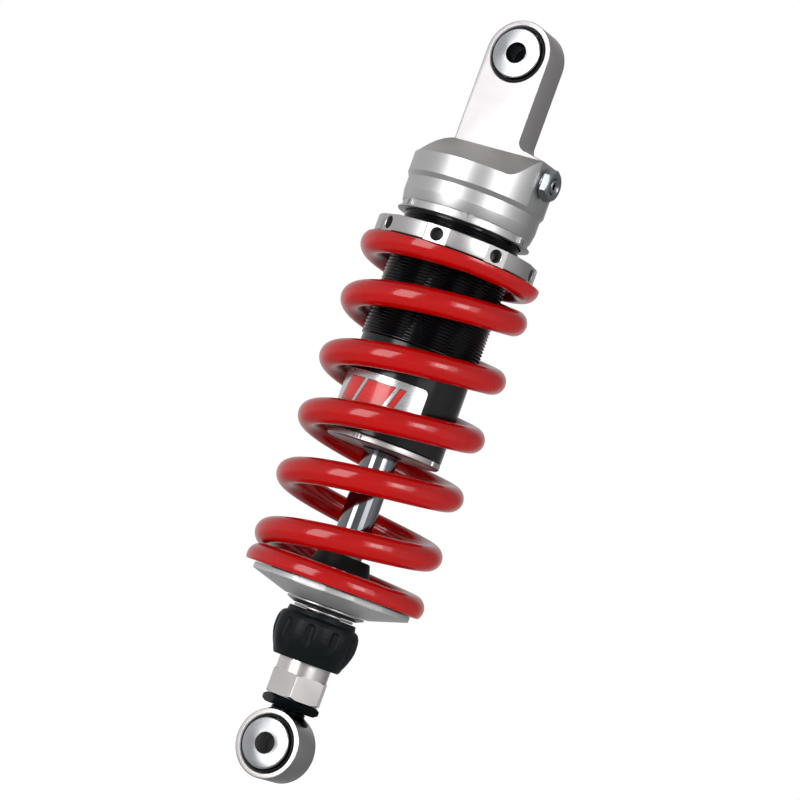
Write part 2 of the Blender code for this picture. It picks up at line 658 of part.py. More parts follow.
def piston_stack(carrier):
    """Piston, band, shims, support washer and nut on the rod's tenon."""
    outer = TUBE_BORE_R - GAP
    inner = TENON_R + GAP
    groove_r = outer - BAND_T - GAP
    low = -PISTON_H / 2 - BAND_H / 2 - GAP
    high = -PISTON_H / 2 + BAND_H / 2 + GAP
    piston = [(outer, 0), (outer, high), (groove_r, high), (groove_r, low), (outer, low),
              (outer, -PISTON_H), (inner, -PISTON_H), (inner, 0)]
    turned("damper_piston", carrier, PISTON_Z, piston, SATIN)
    ports = bmesh.new()
    for k in range(4):
        at = Matrix.Rotation(math.pi / 2 * k, 4, "Z") @ Matrix.Translation(
            ((inner + SHIM_R) / 2, 0, PISTON_Z - PISTON_H / 2))
        bmesh.ops.create_cone(ports, cap_ends=True, segments=8, radius1=2 * MM,
                              radius2=2 * MM, depth=PISTON_H + SWEEP, matrix=at)
    combine(PARTS.objects["damper_piston"], mesh_cutter("piston_ports", ports), "DIFFERENCE")
    band = tube_outline(groove_r + GAP / 2, outer - GAP / 2, high - GAP, low + GAP)
    turned("piston_band", carrier, PISTON_Z, band, BRONZE)
    shims = tube_outline(inner, SHIM_R, 0, -SHIM_T)
    turned("rebound_shims", carrier, SHIMS_TOP_Z, shims, STEEL, FINE_STEPS)
    turned("compression_shims", carrier, SHIMS_LOW_Z, shims, STEEL, FINE_STEPS)
    turned("shim_support_washer", carrier, SUPPORT_Z,
           tube_outline(inner, ROD_R + 1 * MM, 0, -SUPPORT_T), STEEL, FINE_STEPS)
    turned("top_out_bumper", carrier, ROD_TOP_Z - GAP,
           tube_outline(ROD_R + GAP, BUMPER_R, 0, -BUMPER_H, 0.8 * MM), RUBBER, FINE_STEPS)
    nut = bmesh.new()
    hexagon(nut, NUT_HEX, NUT_H, -NUT_H / 2, 30)
    hex_piece("piston_nut", carrier, PISTON_NUT_Z, nut, inner, -NUT_H, STEEL)


def hex_piece(name, carrier, height, shape, bore_r, foot, material):
    """A nut: a hexagonal bmesh with a bore."""
    mesh = bpy.data.meshes.new(name)
    shape.to_mesh(mesh)
    shape.free()
    obj = place(bpy.data.objects.new(name, mesh), carrier, height, material)
    bore = rod_cutter(name + "_bore", bore_r, (0, 0, height + SWEEP),
                      (0, 0, height + foot - SWEEP))
    combine(obj, bore, "DIFFERENCE")
    return obj


def damper_rod(carrier):
    """Hollow rod with a tenon for the piston and a slot for the cross pin."""
    tenon_top = PISTON_NUT_Z - 0.8 * MM
    outline = [(TENON_R, tenon_top), (TENON_R, ROD_TOP_Z), (ROD_R, ROD_TOP_Z),
               (ROD_R, ROD_FOOT_Z), (NEEDLE_BORE_R, ROD_FOOT_Z), (NEEDLE_BORE_R, tenon_top)]
    rod = turned("damper_rod", carrier, 0.0, outline, CHROME, FINE_STEPS)
    slot = bmesh.new()
    slot_h = KNOB_TRAVEL + 2 * CROSS_PIN_R + 4 * GAP
    box_shape(slot, (0, 0, CROSS_PIN_Z - KNOB_TRAVEL / 2),
              (4 * FITTING_R, 2 * CROSS_PIN_R + 4 * GAP, slot_h))
    cutter = mesh_cutter("cross_pin_slot", slot)
    combine(rod, cutter, "DIFFERENCE")
    return cutter


# ---- spring and preload --------------------------------------------------
def preload_adjuster(slide, turner):
    """Castellated nut and the slip washer it pushes the spring with."""
    inner = THREAD_R + GAP
    pilot_r = SPRING_BORE_R - PILOT_PLAY
    edge = 0.5 * MM
    outline = [(ADJUSTER_R - edge, 0), (ADJUSTER_R, -edge), (ADJUSTER_R, -ADJUSTER_H + edge),
               (ADJUSTER_R - edge, -ADJUSTER_H), (pilot_r, -ADJUSTER_H),
               (pilot_r, -ADJUSTER_H - PILOT_H), (inner, -ADJUSTER_H - PILOT_H), (inner, 0)]
    nut = turned("preload_nut", turner, ADJUSTER_Z, outline, TURNED)
    lands = bmesh.new()
    middle = ADJUSTER_Z - ADJUSTER_H / 2
    for k in range(LANDS):
        turn = compass(LAND_AT + 360 / LANDS * k)
        box_shape(lands, (ADJUSTER_R - LAND_DEPTH + 5 * MM, 0, middle),
                  (10 * MM, ADJUSTER_LAND, ADJUSTER_H + SWEEP), turn)
    holes = bmesh.new()
    for k in range(LANDS):
        at = (Matrix.Rotation(compass(LAND_AT + 360 / LANDS * k), 4, "Z")
              @ Matrix.Translation((ADJUSTER_R, 0, middle)) @ Matrix.Rotation(math.pi / 2, 4, "Y"))
        bmesh.ops.create_cone(holes, cap_ends=True, segments=12, radius1=PIN_HOLE_R,
                              radius2=PIN_HOLE_R, depth=2 * PIN_HOLE_DEPTH, matrix=at)
    combine(nut, mesh_cutter("lands", lands), "DIFFERENCE")
    combine(nut, mesh_cutter("pin_holes", holes), "DIFFERENCE")
    washer = tube_outline(SPRING_BORE_R - PILOT_PLAY + GAP, ADJUSTER_R - 1 * MM, 0, -SLIP_T)
    turned("slip_washer", slide, SLIP_Z, washer, RUBBER)


def end_height(turns, lift, flat, pitch):
    """Height of the wire's centre above a ground end, some turns from its tip."""
    closed_pitch = WIRE_D + COIL_PLAY
    climbed = max(turns - flat, 0.0)
    height = lift + closed_pitch * min(climbed, CLOSED)
    into = min(max(climbed - CLOSED, 0.0), RAMP)
    height += closed_pitch * into + (pitch - closed_pitch) * into * into / (2 * RAMP)
    return height + pitch * max(climbed - CLOSED - RAMP, 0.0)


def coil_height(turn):
    """Height of the wire's centre at a turn, counted from the lower tip."""
    free = SPRING_TOP_Z - SPRING_FOOT_Z
    middle = TURNS / 2
    low = end_height(middle, LIFT_LOW, FLAT_LOW, ACTIVE_PITCH)
    top = end_height(middle, LIFT_TOP, FLAT_TOP, ACTIVE_PITCH)
    open_turns = TURNS - FLAT_LOW - FLAT_TOP - 2 * CLOSED - RAMP
    pitch = ACTIVE_PITCH + (free - low - top) / open_turns
    if turn <= middle:
        return SPRING_FOOT_Z + end_height(turn, LIFT_LOW, FLAT_LOW, pitch)
    return SPRING_TOP_Z - end_height(TURNS - turn, LIFT_TOP, FLAT_TOP, pitch)


def main_spring(carrier):
    """Right-hand coil with ground ends."""
    count = round(24 * TURNS) + 1
    data = bpy.data.curves.new("main_spring", "CURVE")
    data.dimensions = "3D"
    data.bevel_depth = WIRE_D / 2
    data.bevel_resolution = 2
    data.use_fill_caps = True
    spline = data.splines.new("POLY")
    spline.points.add(count - 1)
    for i, knot in enumerate(spline.points):
        turn = TURNS * i / (count - 1)
        angle = compass(LOW_TIP_AT) + 2 * math.pi * turn
        x, y = SPRING_MEAN_R * math.cos(angle), SPRING_MEAN_R * math.sin(angle)
        knot.co = (x, y, coil_height(turn), 1)
    coil = bpy.data.objects.new("coil", data)
    PARTS.objects.link(coil)
    spring = curve_to_mesh(coil)
    spring.name = "main_spring"
    place(spring, carrier, carrier["height"], RED)
    slab = bmesh.new()
    span = 4 * (SPRING_MEAN_R + WIRE_D)
    box_shape(slab, (0, 0, (SPRING_TOP_Z + SPRING_FOOT_Z) / 2),
              (span, span, SPRING_TOP_Z - SPRING_FOOT_Z))
    combine(spring, mesh_cutter("ground_ends", slab), "INTERSECT")


# ---- lower seat, bump stop, collars --------------------------------------
def spring_seat(carrier):
    """Dished aluminium seat with a pilot ring inside the spring."""
    pilot_r = SPRING_BORE_R - PILOT_PLAY
    pilot_top = SPRING_FOOT_Z + SEAT_PILOT_H
    inner = ROD_R + GAP
    outline = [(pilot_r, pilot_top), (pilot_r, SEAT_Z), (SEAT_R, SEAT_Z),
               (SEAT_R, SEAT_Z - SEAT_RIM), (SEAT_HUB_R, SEAT_FOOT_Z), (inner, SEAT_FOOT_Z),
               (inner, WEB_Z), (pilot_r - SEAT_PILOT_T, WEB_Z),
               (pilot_r - SEAT_PILOT_T, pilot_top)]
    turned("lower_spring_seat", carrier, 0.0, outline, SATIN)


def bump_stop(carrier):
    """Rubber cone on the rod, standing on the seat."""
    inner = ROD_R + GAP
    outline = [(STOP_TOP_R, STOP_H), (STOP_TOP_R + 1 * MM, STOP_H - 1.5 * MM),
               (STOP_FOOT_R, 2 * MM), (STOP_FOOT_R, 0), (inner, 0), (inner, STOP_H)]
    turned("bump_stop", carrier, STOP_FOOT_Z, outline, RUBBER, FINE_STEPS)


def seat_collars(carrier):
    """Collar and ring that carry the seat on the rod."""
    inner = ROD_R + GAP
    lip = 0.8 * MM
    outline = [(SEAT_COLLAR_R, 0), (SEAT_COLLAR_R, -lip), (SEAT_RING_R + lip, -SEAT_COLLAR_H),
               (inner, -SEAT_COLLAR_H), (inner, 0)]
    turned("seat_collar", carrier, COLLAR_Z, outline, TURNED)
    turned("seat_ring", carrier, RING_Z, tube_outline(inner, SEAT_RING_R, 0, -SEAT_RING_H), TURNED)


# ---- rebound adjuster, fitting, lower eye --------------------------------
def rebound_adjuster(slide, turner):
    """Needle and cross pin, and the knob that moves them."""
    pin_top = CROSS_PIN_Z + CROSS_PIN_R + GAP
    needle_top = SHIMS_LOW_Z
    needle = [(0, needle_top), (0.6 * MM, needle_top), (NEEDLE_R, needle_top - 6 * MM),
              (NEEDLE_R, pin_top), (0, pin_top)]
    turned("rebound_needle", slide, 0.0, needle, STEEL, 12, solid=True)
    half = KNOB_GROOVE_R - GAP
    pin = [(0, half), (CROSS_PIN_R, half), (CROSS_PIN_R, -half), (0, -half)]
    cross = turned("rebound_cross_pin", slide, CROSS_PIN_Z, pin, STEEL, 12, solid=True)
    cross.rotation_euler.y = math.pi / 2
    inner = FITTING_R + GAP
    groove = KNOB_GROOVE_H / 2
    step = [(KNOB_TOP_R, 0), (KNOB_TOP_R + 0.8 * MM, -KNOB_STEP + 0.6 * MM)]
    side = []
    for i in range(5):
        t = i / 4
        swell = math.sin(math.pi * (0.22 + 0.62 * t))
        base = KNOB_FOOT_R + (KNOB_R - KNOB_FOOT_R) * (swell - 0.48) / 0.52
        side.append((base, -KNOB_STEP - (KNOB_H - KNOB_STEP) * t))
    hollow = [(inner, -KNOB_H), (inner, -CROSS_PIN_DROP - groove),
              (KNOB_GROOVE_R, -CROSS_PIN_DROP - groove), (KNOB_GROOVE_R, -CROSS_PIN_DROP + groove),
              (inner, -CROSS_PIN_DROP + groove), (inner, 0)]
    turned("rebound_knob", turner, KNOB_Z, step + side + hollow, RUBBER)


def rod_fitting(carrier, pin_slot):
    """Fitting at the rod's end: a cylinder with a hexagon below."""
    outline = [(0, KNOB_Z), (FITTING_R, KNOB_Z), (FITTING_R, HEX_Z - 1 * MM), (0, HEX_Z - 1 * MM)]
    fitting = turned("hex_fitting", carrier, 0.0, outline, SATIN, solid=True)
    block = bmesh.new()
    hexagon(block, FITTING_HEX, FITTING_HEX_H, (HEX_Z + HEX_FOOT_Z) / 2, FITTING_CORNER)
    combine(fitting, mesh_cutter("fitting_hex", block), "UNION")
    stem_bore = rod_cutter("stem_bore", STEM_R + GAP, (0, 0, STEM_TOP_Z + GAP),
                           (0, 0, HEX_FOOT_Z - SWEEP), STEPS)
    rod_bore = rod_cutter("rod_bore", ROD_R + GAP, (0, 0, KNOB_Z + SWEEP),
                          (0, 0, ROD_FOOT_Z - GAP), STEPS)
    drain = rod_cutter("needle_bore", NEEDLE_BORE_R, (0, 0, ROD_FOOT_Z),
                       (0, 0, STEM_TOP_Z), 12)
    for cutter in (stem_bore, rod_bore, drain, pin_slot):
        combine(fitting, cutter, "DIFFERENCE")
    nut = bmesh.new()
    hexagon(nut, LOCK_HEX, LOCK_H, -LOCK_H / 2, LOCK_CORNER)
    hex_piece("lock_nut", carrier, LOCK_Z, nut, STEM_R + GAP, -LOCK_H, BLACK)


def lower_eye(carrier):
    """Eye ring with a neck and the stem that screws into the fitting."""
    foot = LOWER_EYE_Z + EYE_R / 2
    stem = [(0, STEM_TOP_Z), (STEM_R - 1 * MM, STEM_TOP_Z), (STEM_R, STEM_TOP_Z - 1 * MM),
            (STEM_R, LOCK_FOOT_Z - GAP), (NECK_R, LOCK_FOOT_Z - GAP), (NECK_R, foot), (0, foot)]
    eye = turned("lower_eye", carrier, 0.0, stem, SATIN, FINE_STEPS, solid=True)
    half = EYE_WIDTH / 2
    ring = rod_cutter("lower_ring", EYE_R, (0, -half, LOWER_EYE_Z), (0, half, LOWER_EYE_Z), STEPS)
    hole = rod_cutter("lower_bore", RACE_R + GAP, (0, -half - SWEEP, LOWER_EYE_Z),
                      (0, half + SWEEP, LOWER_EYE_Z), STEPS)
    combine(eye, ring, "UNION")
    combine(eye, hole, "DIFFERENCE")


# ---- assembly ------------------------------------------------------------
def build():
    """Make every piece on the empty of the body it moves with."""
    body = group("damper_body", 0.0)
    upper_bush = group("upper_bush", 0.0, body)
    gas_piston = group("gas_piston", FLOAT_TOP_Z, body)
    spring_push = group("spring_push", SLIP_Z, body)
    nut_turn = group("nut_turn", ADJUSTER_Z, spring_push)
    seat_unit = group("seat_unit", SEAT_Z, body)
    rod_unit = group("rod_unit", ROD_TOP_Z, seat_unit)
    needle_unit = group("needle_unit", CROSS_PIN_Z, rod_unit)
    knob_unit = group("knob_unit", KNOB_Z, needle_unit)
    eye_unit = group("eye_unit", LOWER_EYE_Z, seat_unit)
    lower_bush = group("lower_bush", LOWER_EYE_Z, eye_unit)

    flat_x = upper_mount_cap(body)
    gas_valve(body, flat_x)
    eye_bearing("upper", body, upper_bush, 0.0)
    ring_z = damper_tube(body)
    seal_head(body, ring_z)
    body_label(body)
    main_spring(body)
    floating_piston(gas_piston)
    preload_adjuster(spring_push, nut_turn)
    spring_seat(seat_unit)
    bump_stop(seat_unit)
    pin_slot = damper_rod(rod_unit)
    piston_stack(rod_unit)
    seat_collars(rod_unit)
    rod_fitting(rod_unit, pin_slot)
    rebound_adjuster(needle_unit, knob_unit)
    lower_eye(eye_unit)
    eye_bearing("lower", eye_unit, lower_bush, LOWER_EYE_Z)


build()
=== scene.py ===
"""Rear shock absorber: the looks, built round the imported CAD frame.

Sizes are in millimetres and become metres where a mesh is made. Heights are
measured from the centre of the upper eye. Bearings are degrees about the damper
axis, counted from -Y towards +X. The eye bolts lie along Y, the valve along X.
"""

import logging
import math
from collections.abc import Callable, Sequence
from dataclasses import dataclass, field
from enum import Enum

import bmesh
import bpy
from mathutils import Matrix, Vector

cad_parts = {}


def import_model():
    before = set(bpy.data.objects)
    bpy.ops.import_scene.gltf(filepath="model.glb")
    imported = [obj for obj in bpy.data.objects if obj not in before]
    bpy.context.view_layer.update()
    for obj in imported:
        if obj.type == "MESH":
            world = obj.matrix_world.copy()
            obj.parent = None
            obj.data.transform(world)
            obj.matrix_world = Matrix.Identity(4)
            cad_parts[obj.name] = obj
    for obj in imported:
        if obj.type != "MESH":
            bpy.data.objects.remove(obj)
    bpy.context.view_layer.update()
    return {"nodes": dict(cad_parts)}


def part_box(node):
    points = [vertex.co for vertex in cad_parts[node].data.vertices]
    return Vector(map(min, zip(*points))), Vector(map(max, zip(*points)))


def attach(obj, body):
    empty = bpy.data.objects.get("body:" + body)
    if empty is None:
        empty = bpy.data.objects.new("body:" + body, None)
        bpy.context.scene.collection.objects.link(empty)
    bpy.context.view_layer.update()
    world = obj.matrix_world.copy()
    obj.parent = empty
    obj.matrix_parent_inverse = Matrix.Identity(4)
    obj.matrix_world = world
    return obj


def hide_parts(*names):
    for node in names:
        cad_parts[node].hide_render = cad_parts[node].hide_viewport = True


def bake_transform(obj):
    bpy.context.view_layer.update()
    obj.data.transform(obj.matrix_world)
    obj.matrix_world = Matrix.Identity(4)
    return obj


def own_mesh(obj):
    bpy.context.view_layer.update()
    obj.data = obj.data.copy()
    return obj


MM = 0.001
TAU = 2 * math.pi
GAP = 0.3                       # between pieces that touch or slide
ON_AXIS = 1e-6                  # radius under which a point lies on the axis
Point = tuple[float, float]
Corner = tuple[float, float, float]     # radius, height, fillet
Point3 = tuple[float, float, float]
Colour = tuple[float, float, float, float]
Obj = bpy.types.Object
Tree = bpy.types.NodeTree
Socket = bpy.types.NodeSocket

log = logging.getLogger("rear_shock_absorber")


class Axis(Enum):
    """The line that a piece is turned about."""

    DAMPER = "z"
    BOLT = "y"
    VALVE = "x"


class Marks(Enum):
    """How a metal surface was cut, which sets its fine pattern."""

    TURNED = "turned"
    MILLED = "milled"
    BLASTED = "blasted"


def compass(bearing: float) -> float:
    """Angle about Z, in radians, of a bearing counted from -Y towards +X."""
    return math.radians(bearing - 90)


def srgb(code: str) -> Colour:
    """Linear colour of a hex sRGB code.

    Args:
        code: six hex digits with a leading #.

    Returns:
        Red, green, blue and alpha as linear values.
    """
    parts = [int(code[i:i + 2], 16) / 255 for i in (1, 3, 5)]
    linear = [c / 12.92 if c <= 0.04045 else ((c + 0.055) / 1.055) ** 2.4 for c in parts]
    return (*linear, 1.0)


def heights(node: str) -> Point:
    """Lowest and highest point of a CAD node, in millimetres."""
    low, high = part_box(node)
    return low.z / MM, high.z / MM


# ---- nodes ---------------------------------------------------------------
def add_node(tree: Tree, kind: str, values: dict | None = None,
             **settings: object) -> bpy.types.Node:
    """Add a node with its settings and links.

    Args:
        tree: the tree it goes in.
        kind: the node's type name.
        values: for each input, by name or index, a socket to link or a value.
        settings: the node's own properties.

    Returns:
        The new node.
    """
    made = tree.nodes.new(kind)
    for key, value in settings.items():
        setattr(made, key, value)
    for key, value in (values or {}).items():
        if isinstance(value, Socket):
            tree.links.new(value, made.inputs[key])
        else:
            made.inputs[key].default_value = value
    return made


def number(tree: Tree, operation: str, *values: object,
           clamp: bool = False) -> Socket:
    """Output of a Math node on up to three numbers or sockets."""
    made = add_node(tree, "ShaderNodeMath", dict(enumerate(values)),
                    operation=operation, use_clamp=clamp)
    return made.outputs[0]


def mix(tree: Tree, share: object, first: object, second: object) -> Socket:
    """Colour between two colours or sockets."""
    made = add_node(tree, "ShaderNodeMix", {0: share, 6: first, 7: second}, data_type="RGBA")
    return made.outputs[2]


def spread(tree: Tree, value: Socket, start: float, end: float, low: float, high: float
           ) -> Socket:
    """Value carried from one range, which it is held to, into another."""
    made = add_node(tree, "ShaderNodeMapRange", {0: value, 1: start, 2: end, 3: low, 4: high})
    return made.outputs[0]


def noise(tree: Tree, spot: Socket, size: float, detail: float = 2.0) -> Socket:
    """Soft noise whose features have a size in millimetres."""
    made = add_node(tree, "ShaderNodeTexNoise",
                    {"Vector": spot, "Scale": 1 / (size * MM), "Detail": detail})
    return made.outputs[0]


def axes(tree: Tree, spot: Socket) -> tuple[Socket, Socket, Socket]:
    """X, Y and Z of a position."""
    x, y, z = add_node(tree, "ShaderNodeSeparateXYZ", {0: spot}).outputs
    return x, y, z


# ---- meshes --------------------------------------------------------------
def rounded(corners: Sequence[Corner], steps: int = 4) -> list[Point]:
    """Outline with each corner replaced by an arc of its fillet.

    Args:
        corners: radius, height and fillet of each corner. An outline that starts on
            the axis is open; any other is a loop.
        steps: straight pieces in an arc.

    Returns:
        The outline's points.
    """
    count = len(corners)
    closed = corners[0][0] > ON_AXIS
    outline: list[Point] = []
    for i, (radius, height, fillet) in enumerate(corners):
        here = Vector((radius, height))
        if fillet <= 0 or (not closed and i in (0, count - 1)):
            outline.append((radius, height))
            continue
        before = Vector(corners[i - 1][:2]) - here
        after = Vector(corners[(i + 1) % count][:2]) - here
        half = before.angle(after) / 2
        reach = min(fillet / math.tan(half), 0.48 * min(before.length, after.length))
        centre = here + (before.normalized() + after.normalized()).normalized() * (
            reach / math.cos(half))
        first = here + before.normalized() * reach - centre
        last = here + after.normalized() * reach - centre
        start = math.atan2(first.y, first.x)
        sweep = (math.atan2(last.y, last.x) - start + math.pi) % TAU - math.pi
        for k in range(steps + 1):
            a = start + sweep * k / steps
            outline.append((centre.x + first.length * math.cos(a),
                            centre.y + first.length * math.sin(a)))
    return outline


def on_axis(axis: Axis, centre: float, radius: float, height: float, angle: float) -> Vector:
    """Point of a turned piece, in metres."""
    along, across = radius * math.cos(angle), radius * math.sin(angle)
    if axis is Axis.BOLT:
        return Vector((along, -height, centre + across)) * MM
    if axis is Axis.VALVE:
        return Vector((height, along, centre + across)) * MM
    return Vector((along, across, centre + height)) * MM


def in_scene(name: str, data: bpy.types.ID) -> Obj:
    """Put a mesh, curve, camera or light in the scene."""
    obj = bpy.data.objects.new(name, data)
    bpy.context.scene.collection.objects.link(obj)
    return obj


def as_object(name: str, shape: bmesh.types.BMesh) -> Obj:
    """Put a bmesh in a new object with its faces pointing out."""
    bmesh.ops.remove_doubles(shape, verts=shape.verts, dist=0.001 * MM)
    bmesh.ops.recalc_face_normals(shape, faces=shape.faces)
    mesh = bpy.data.meshes.new(name)
    shape.to_mesh(mesh)
    shape.free()
    return smooth(in_scene(name, mesh))


def smooth(obj: Obj, sharp: float = 32.0) -> Obj:
    """Shade smooth, apart from edges over an angle in degrees."""
    obj.data.shade_smooth()
    obj.data.set_sharp_from_angle(angle=math.radians(sharp))
    return obj


def turned(name: str, outline: Sequence[Point], axis: Axis = Axis.DAMPER, centre: float = 0.0,
           steps: int = 128) -> Obj:
    """Turn an outline of (radius, height) points about an axis.

    Args:
        name: the piece's name.
        outline: points in millimetres. One that starts on the axis also ends there;
            any other is a loop round a bore.
        axis: the line it is turned about.
        centre: height of that line, or of the outline's zero on the damper axis.
        steps: columns round the axis.

    Returns:
        The new object.
    """
    shape = bmesh.new()
    rings = []
    for radius, height in outline:
        if radius < ON_AXIS:
            rings.append([shape.verts.new(on_axis(axis, centre, 0.0, height, 0.0))])
            continue
        rings.append([shape.verts.new(on_axis(axis, centre, radius, height, TAU * i / steps))
                      for i in range(steps)])
    pairs = list(zip(rings, rings[1:] + rings[:1]))
    for upper, lower in pairs if outline[0][0] > ON_AXIS else pairs[:-1]:
        for i in range(steps):
            j = (i + 1) % steps
            corners = [upper[i % len(upper)], upper[j % len(upper)],
                       lower[j % len(lower)], lower[i % len(lower)]]
            face = list(dict.fromkeys(corners))
            if len(face) > 2:
                shape.faces.new(face)
    return as_object(name, shape)


def block(name: str, centre: Point3, size: Point3, bearing: float | None = None) -> Obj:
    """Box, in millimetres, turned to a bearing about the damper axis."""
    turn = Matrix.Rotation(compass(bearing), 4, "Z") if bearing is not None else Matrix()
    place = turn @ Matrix.Translation(Vector(centre) * MM)
    shape = bmesh.new()
    extent = Matrix.Diagonal((*(Vector(size) * MM), 1))
    bmesh.ops.create_cube(shape, size=1.0, matrix=place @ extent)
    return as_object(name, shape)


def eye_bore(radius: float, reach: float, centre: float = 0.0) -> Obj:
    """Cutter for an eye's bore, with a lead-in at each face."""
    lead = 0.9
    side = [(0, reach), (radius + lead, reach), (radius, reach - lead)]
    return turned("bore", [*side, *((r, -h) for r, h in reversed(side))], Axis.BOLT, centre)


def hexagon(name: str, across: float, low: float, high: float, place: Matrix,
            edge: float = 0.25) -> Obj:
    """Hexagonal prism with softened upright edges.

    Args:
        name: the piece's name.
        across: distance across the flats.
        low: lower end along the prism's own axis.
        high: upper end.
        place: turns and moves the prism, which stands on +Z with a corner on +X.
        edge: fillet of the upright edges.

    Returns:
        The new object.
    """
    corner = across / math.sqrt(3)
    points = [(corner * math.cos(TAU * k / 6), corner * math.sin(TAU * k / 6), edge)
              for k in range(6)]
    section = rounded(points, steps=3)
    shape = bmesh.new()
    loops = [[shape.verts.new(Vector((x, y, z)) * MM) for x, y in section] for z in (low, high)]
    shape.faces.new(loops[0])
    shape.faces.new(loops[1])
    for i in range(len(section)):
        j = (i + 1) % len(section)
        shape.faces.new((loops[0][i], loops[0][j], loops[1][j], loops[1][i]))
    bmesh.ops.transform(shape, matrix=place, verts=shape.verts)
    return as_object(name, shape)


def plain(obj: Obj) -> Obj:
    """Replace an object's mesh by what its modifiers make of it."""
    bpy.context.view_layer.update()
    evaluated = obj.evaluated_get(bpy.context.evaluated_depsgraph_get())
    made = bpy.data.meshes.new_from_object(evaluated)
    obj.modifiers.clear()
    obj.data = made
    return obj


def combined(obj: Obj, *steps: tuple[str, Obj]) -> Obj:
    """Cut or join a piece with other shapes, which are used up.

    Args:
        obj: the piece.
        steps: pairs of DIFFERENCE, UNION or INTERSECT and the other shape.

    Returns:
        The piece, with a plain mesh.
    """
    for operation, other in steps:
        boolean = obj.modifiers.new(operation.lower(), "BOOLEAN")
        boolean.operation = operation
        boolean.object = other
        boolean.solver = "EXACT"
    plain(obj)
    for _, other in steps:
        bpy.data.objects.remove(other, do_unlink=True)
    return smooth(obj)


def softened(obj: Obj, width: float, sharp: float = 34.0) -> Obj:
    """Round a piece's sharp edges by a width in millimetres."""
    bevel = obj.modifiers.new("edges", "BEVEL")
    bevel.width = width * MM
    bevel.segments = 2
    bevel.limit_method = "ANGLE"
    bevel.angle_limit = math.radians(sharp)
    return smooth(plain(obj), sharp)


# ---- geometry nodes ------------------------------------------------------
def new_tree(name: str, inputs: dict[str, tuple[str, object]]
             ) -> tuple[Tree, bpy.types.Node]:
    """Start a Geometry Nodes tree that takes and gives a geometry.

    Args:
        name: the tree's name.
        inputs: socket type and default of each named input.

    Returns:
        The tree and its Group Input node.
    """
    tree = bpy.data.node_groups.new(name, "GeometryNodeTree")
    tree.interface.new_socket("Geometry", in_out="INPUT", socket_type="NodeSocketGeometry")
    for label, (kind, default) in inputs.items():
        socket = tree.interface.new_socket(label, in_out="INPUT", socket_type=kind)
        if default is not None:
            socket.default_value = default
    tree.interface.new_socket("Material", in_out="INPUT", socket_type="NodeSocketMaterial")
    tree.interface.new_socket("Geometry", in_out="OUTPUT", socket_type="NodeSocketGeometry")
    return tree, add_node(tree, "NodeGroupInput")


def close_tree(tree: Tree, given: bpy.types.Node,
               geometry: Socket) -> None:
    """End a tree in Realize Instances, Set Material and the output."""
    whole = add_node(tree, "GeometryNodeRealizeInstances", {0: geometry})
    dressed = add_node(tree, "GeometryNodeSetMaterial",
                       {"Geometry": whole.outputs[0], "Material": given.outputs["Material"]})
    add_node(tree, "NodeGroupOutput", {0: dressed.outputs[0]})


def run_tree(obj: Obj, tree: Tree, **values: object) -> Obj:
    """Run a tree on an object and keep the result as a plain mesh.

    Args:
        obj: the object whose mesh is the tree's input.
        tree: the tree.
        values: the inputs, by name with _ for a space.

    Returns:
        The object.
    """
    modifier = obj.modifiers.new(tree.name, "NODES")
    modifier.node_group = tree
    for item in tree.interface.items_tree:
        key = item.name.replace(" ", "_")
        if item.in_out == "INPUT" and key in values:
            modifier[item.identifier] = values[key]
    return smooth(plain(obj))


def copies_tree() -> Tree:
    """Copies of a shape, evenly spaced about the damper axis."""
    tree, given = new_tree("copies_round_axis", {"Count": ("NodeSocketInt", 8)})
    line = add_node(tree, "GeometryNodeMeshLine", {"Count": given.outputs["Count"],
                                                   "Offset": (0.0, 0.0, 0.0)})
    index = add_node(tree, "GeometryNodeInputIndex")
    share = number(tree, "DIVIDE", index.outputs[0], given.outputs["Count"])
    angle = number(tree, "MULTIPLY", share, TAU)
    turn = add_node(tree, "FunctionNodeAxisAngleToRotation",
                    {"Axis": (0.0, 0.0, 1.0), "Angle": angle})
    copies = add_node(tree, "GeometryNodeInstanceOnPoints",
                      {"Points": line.outputs[0], "Instance": given.outputs["Geometry"],
                       "Rotation": turn.outputs[0]})
    close_tree(tree, given, copies.outputs[0])
    return tree


def wire_tree() -> Tree:
    """Round wire along a polyline."""
    tree, given = new_tree("wire_along_path", {"Wire Radius": ("NodeSocketFloat", 0.006),
                                               "Sides": ("NodeSocketInt", 32)})
    path = add_node(tree, "GeometryNodeMeshToCurve", {0: given.outputs["Geometry"]})
    section = add_node(tree, "GeometryNodeCurvePrimitiveCircle",
                       {"Resolution": given.outputs["Sides"],
                        "Radius": given.outputs["Wire Radius"]})
    wire = add_node(tree, "GeometryNodeCurveToMesh",
                    {"Curve": path.outputs[0], "Profile Curve": section.outputs[0],
                     "Fill Caps": True})
    close_tree(tree, given, wire.outputs[0])
    return tree


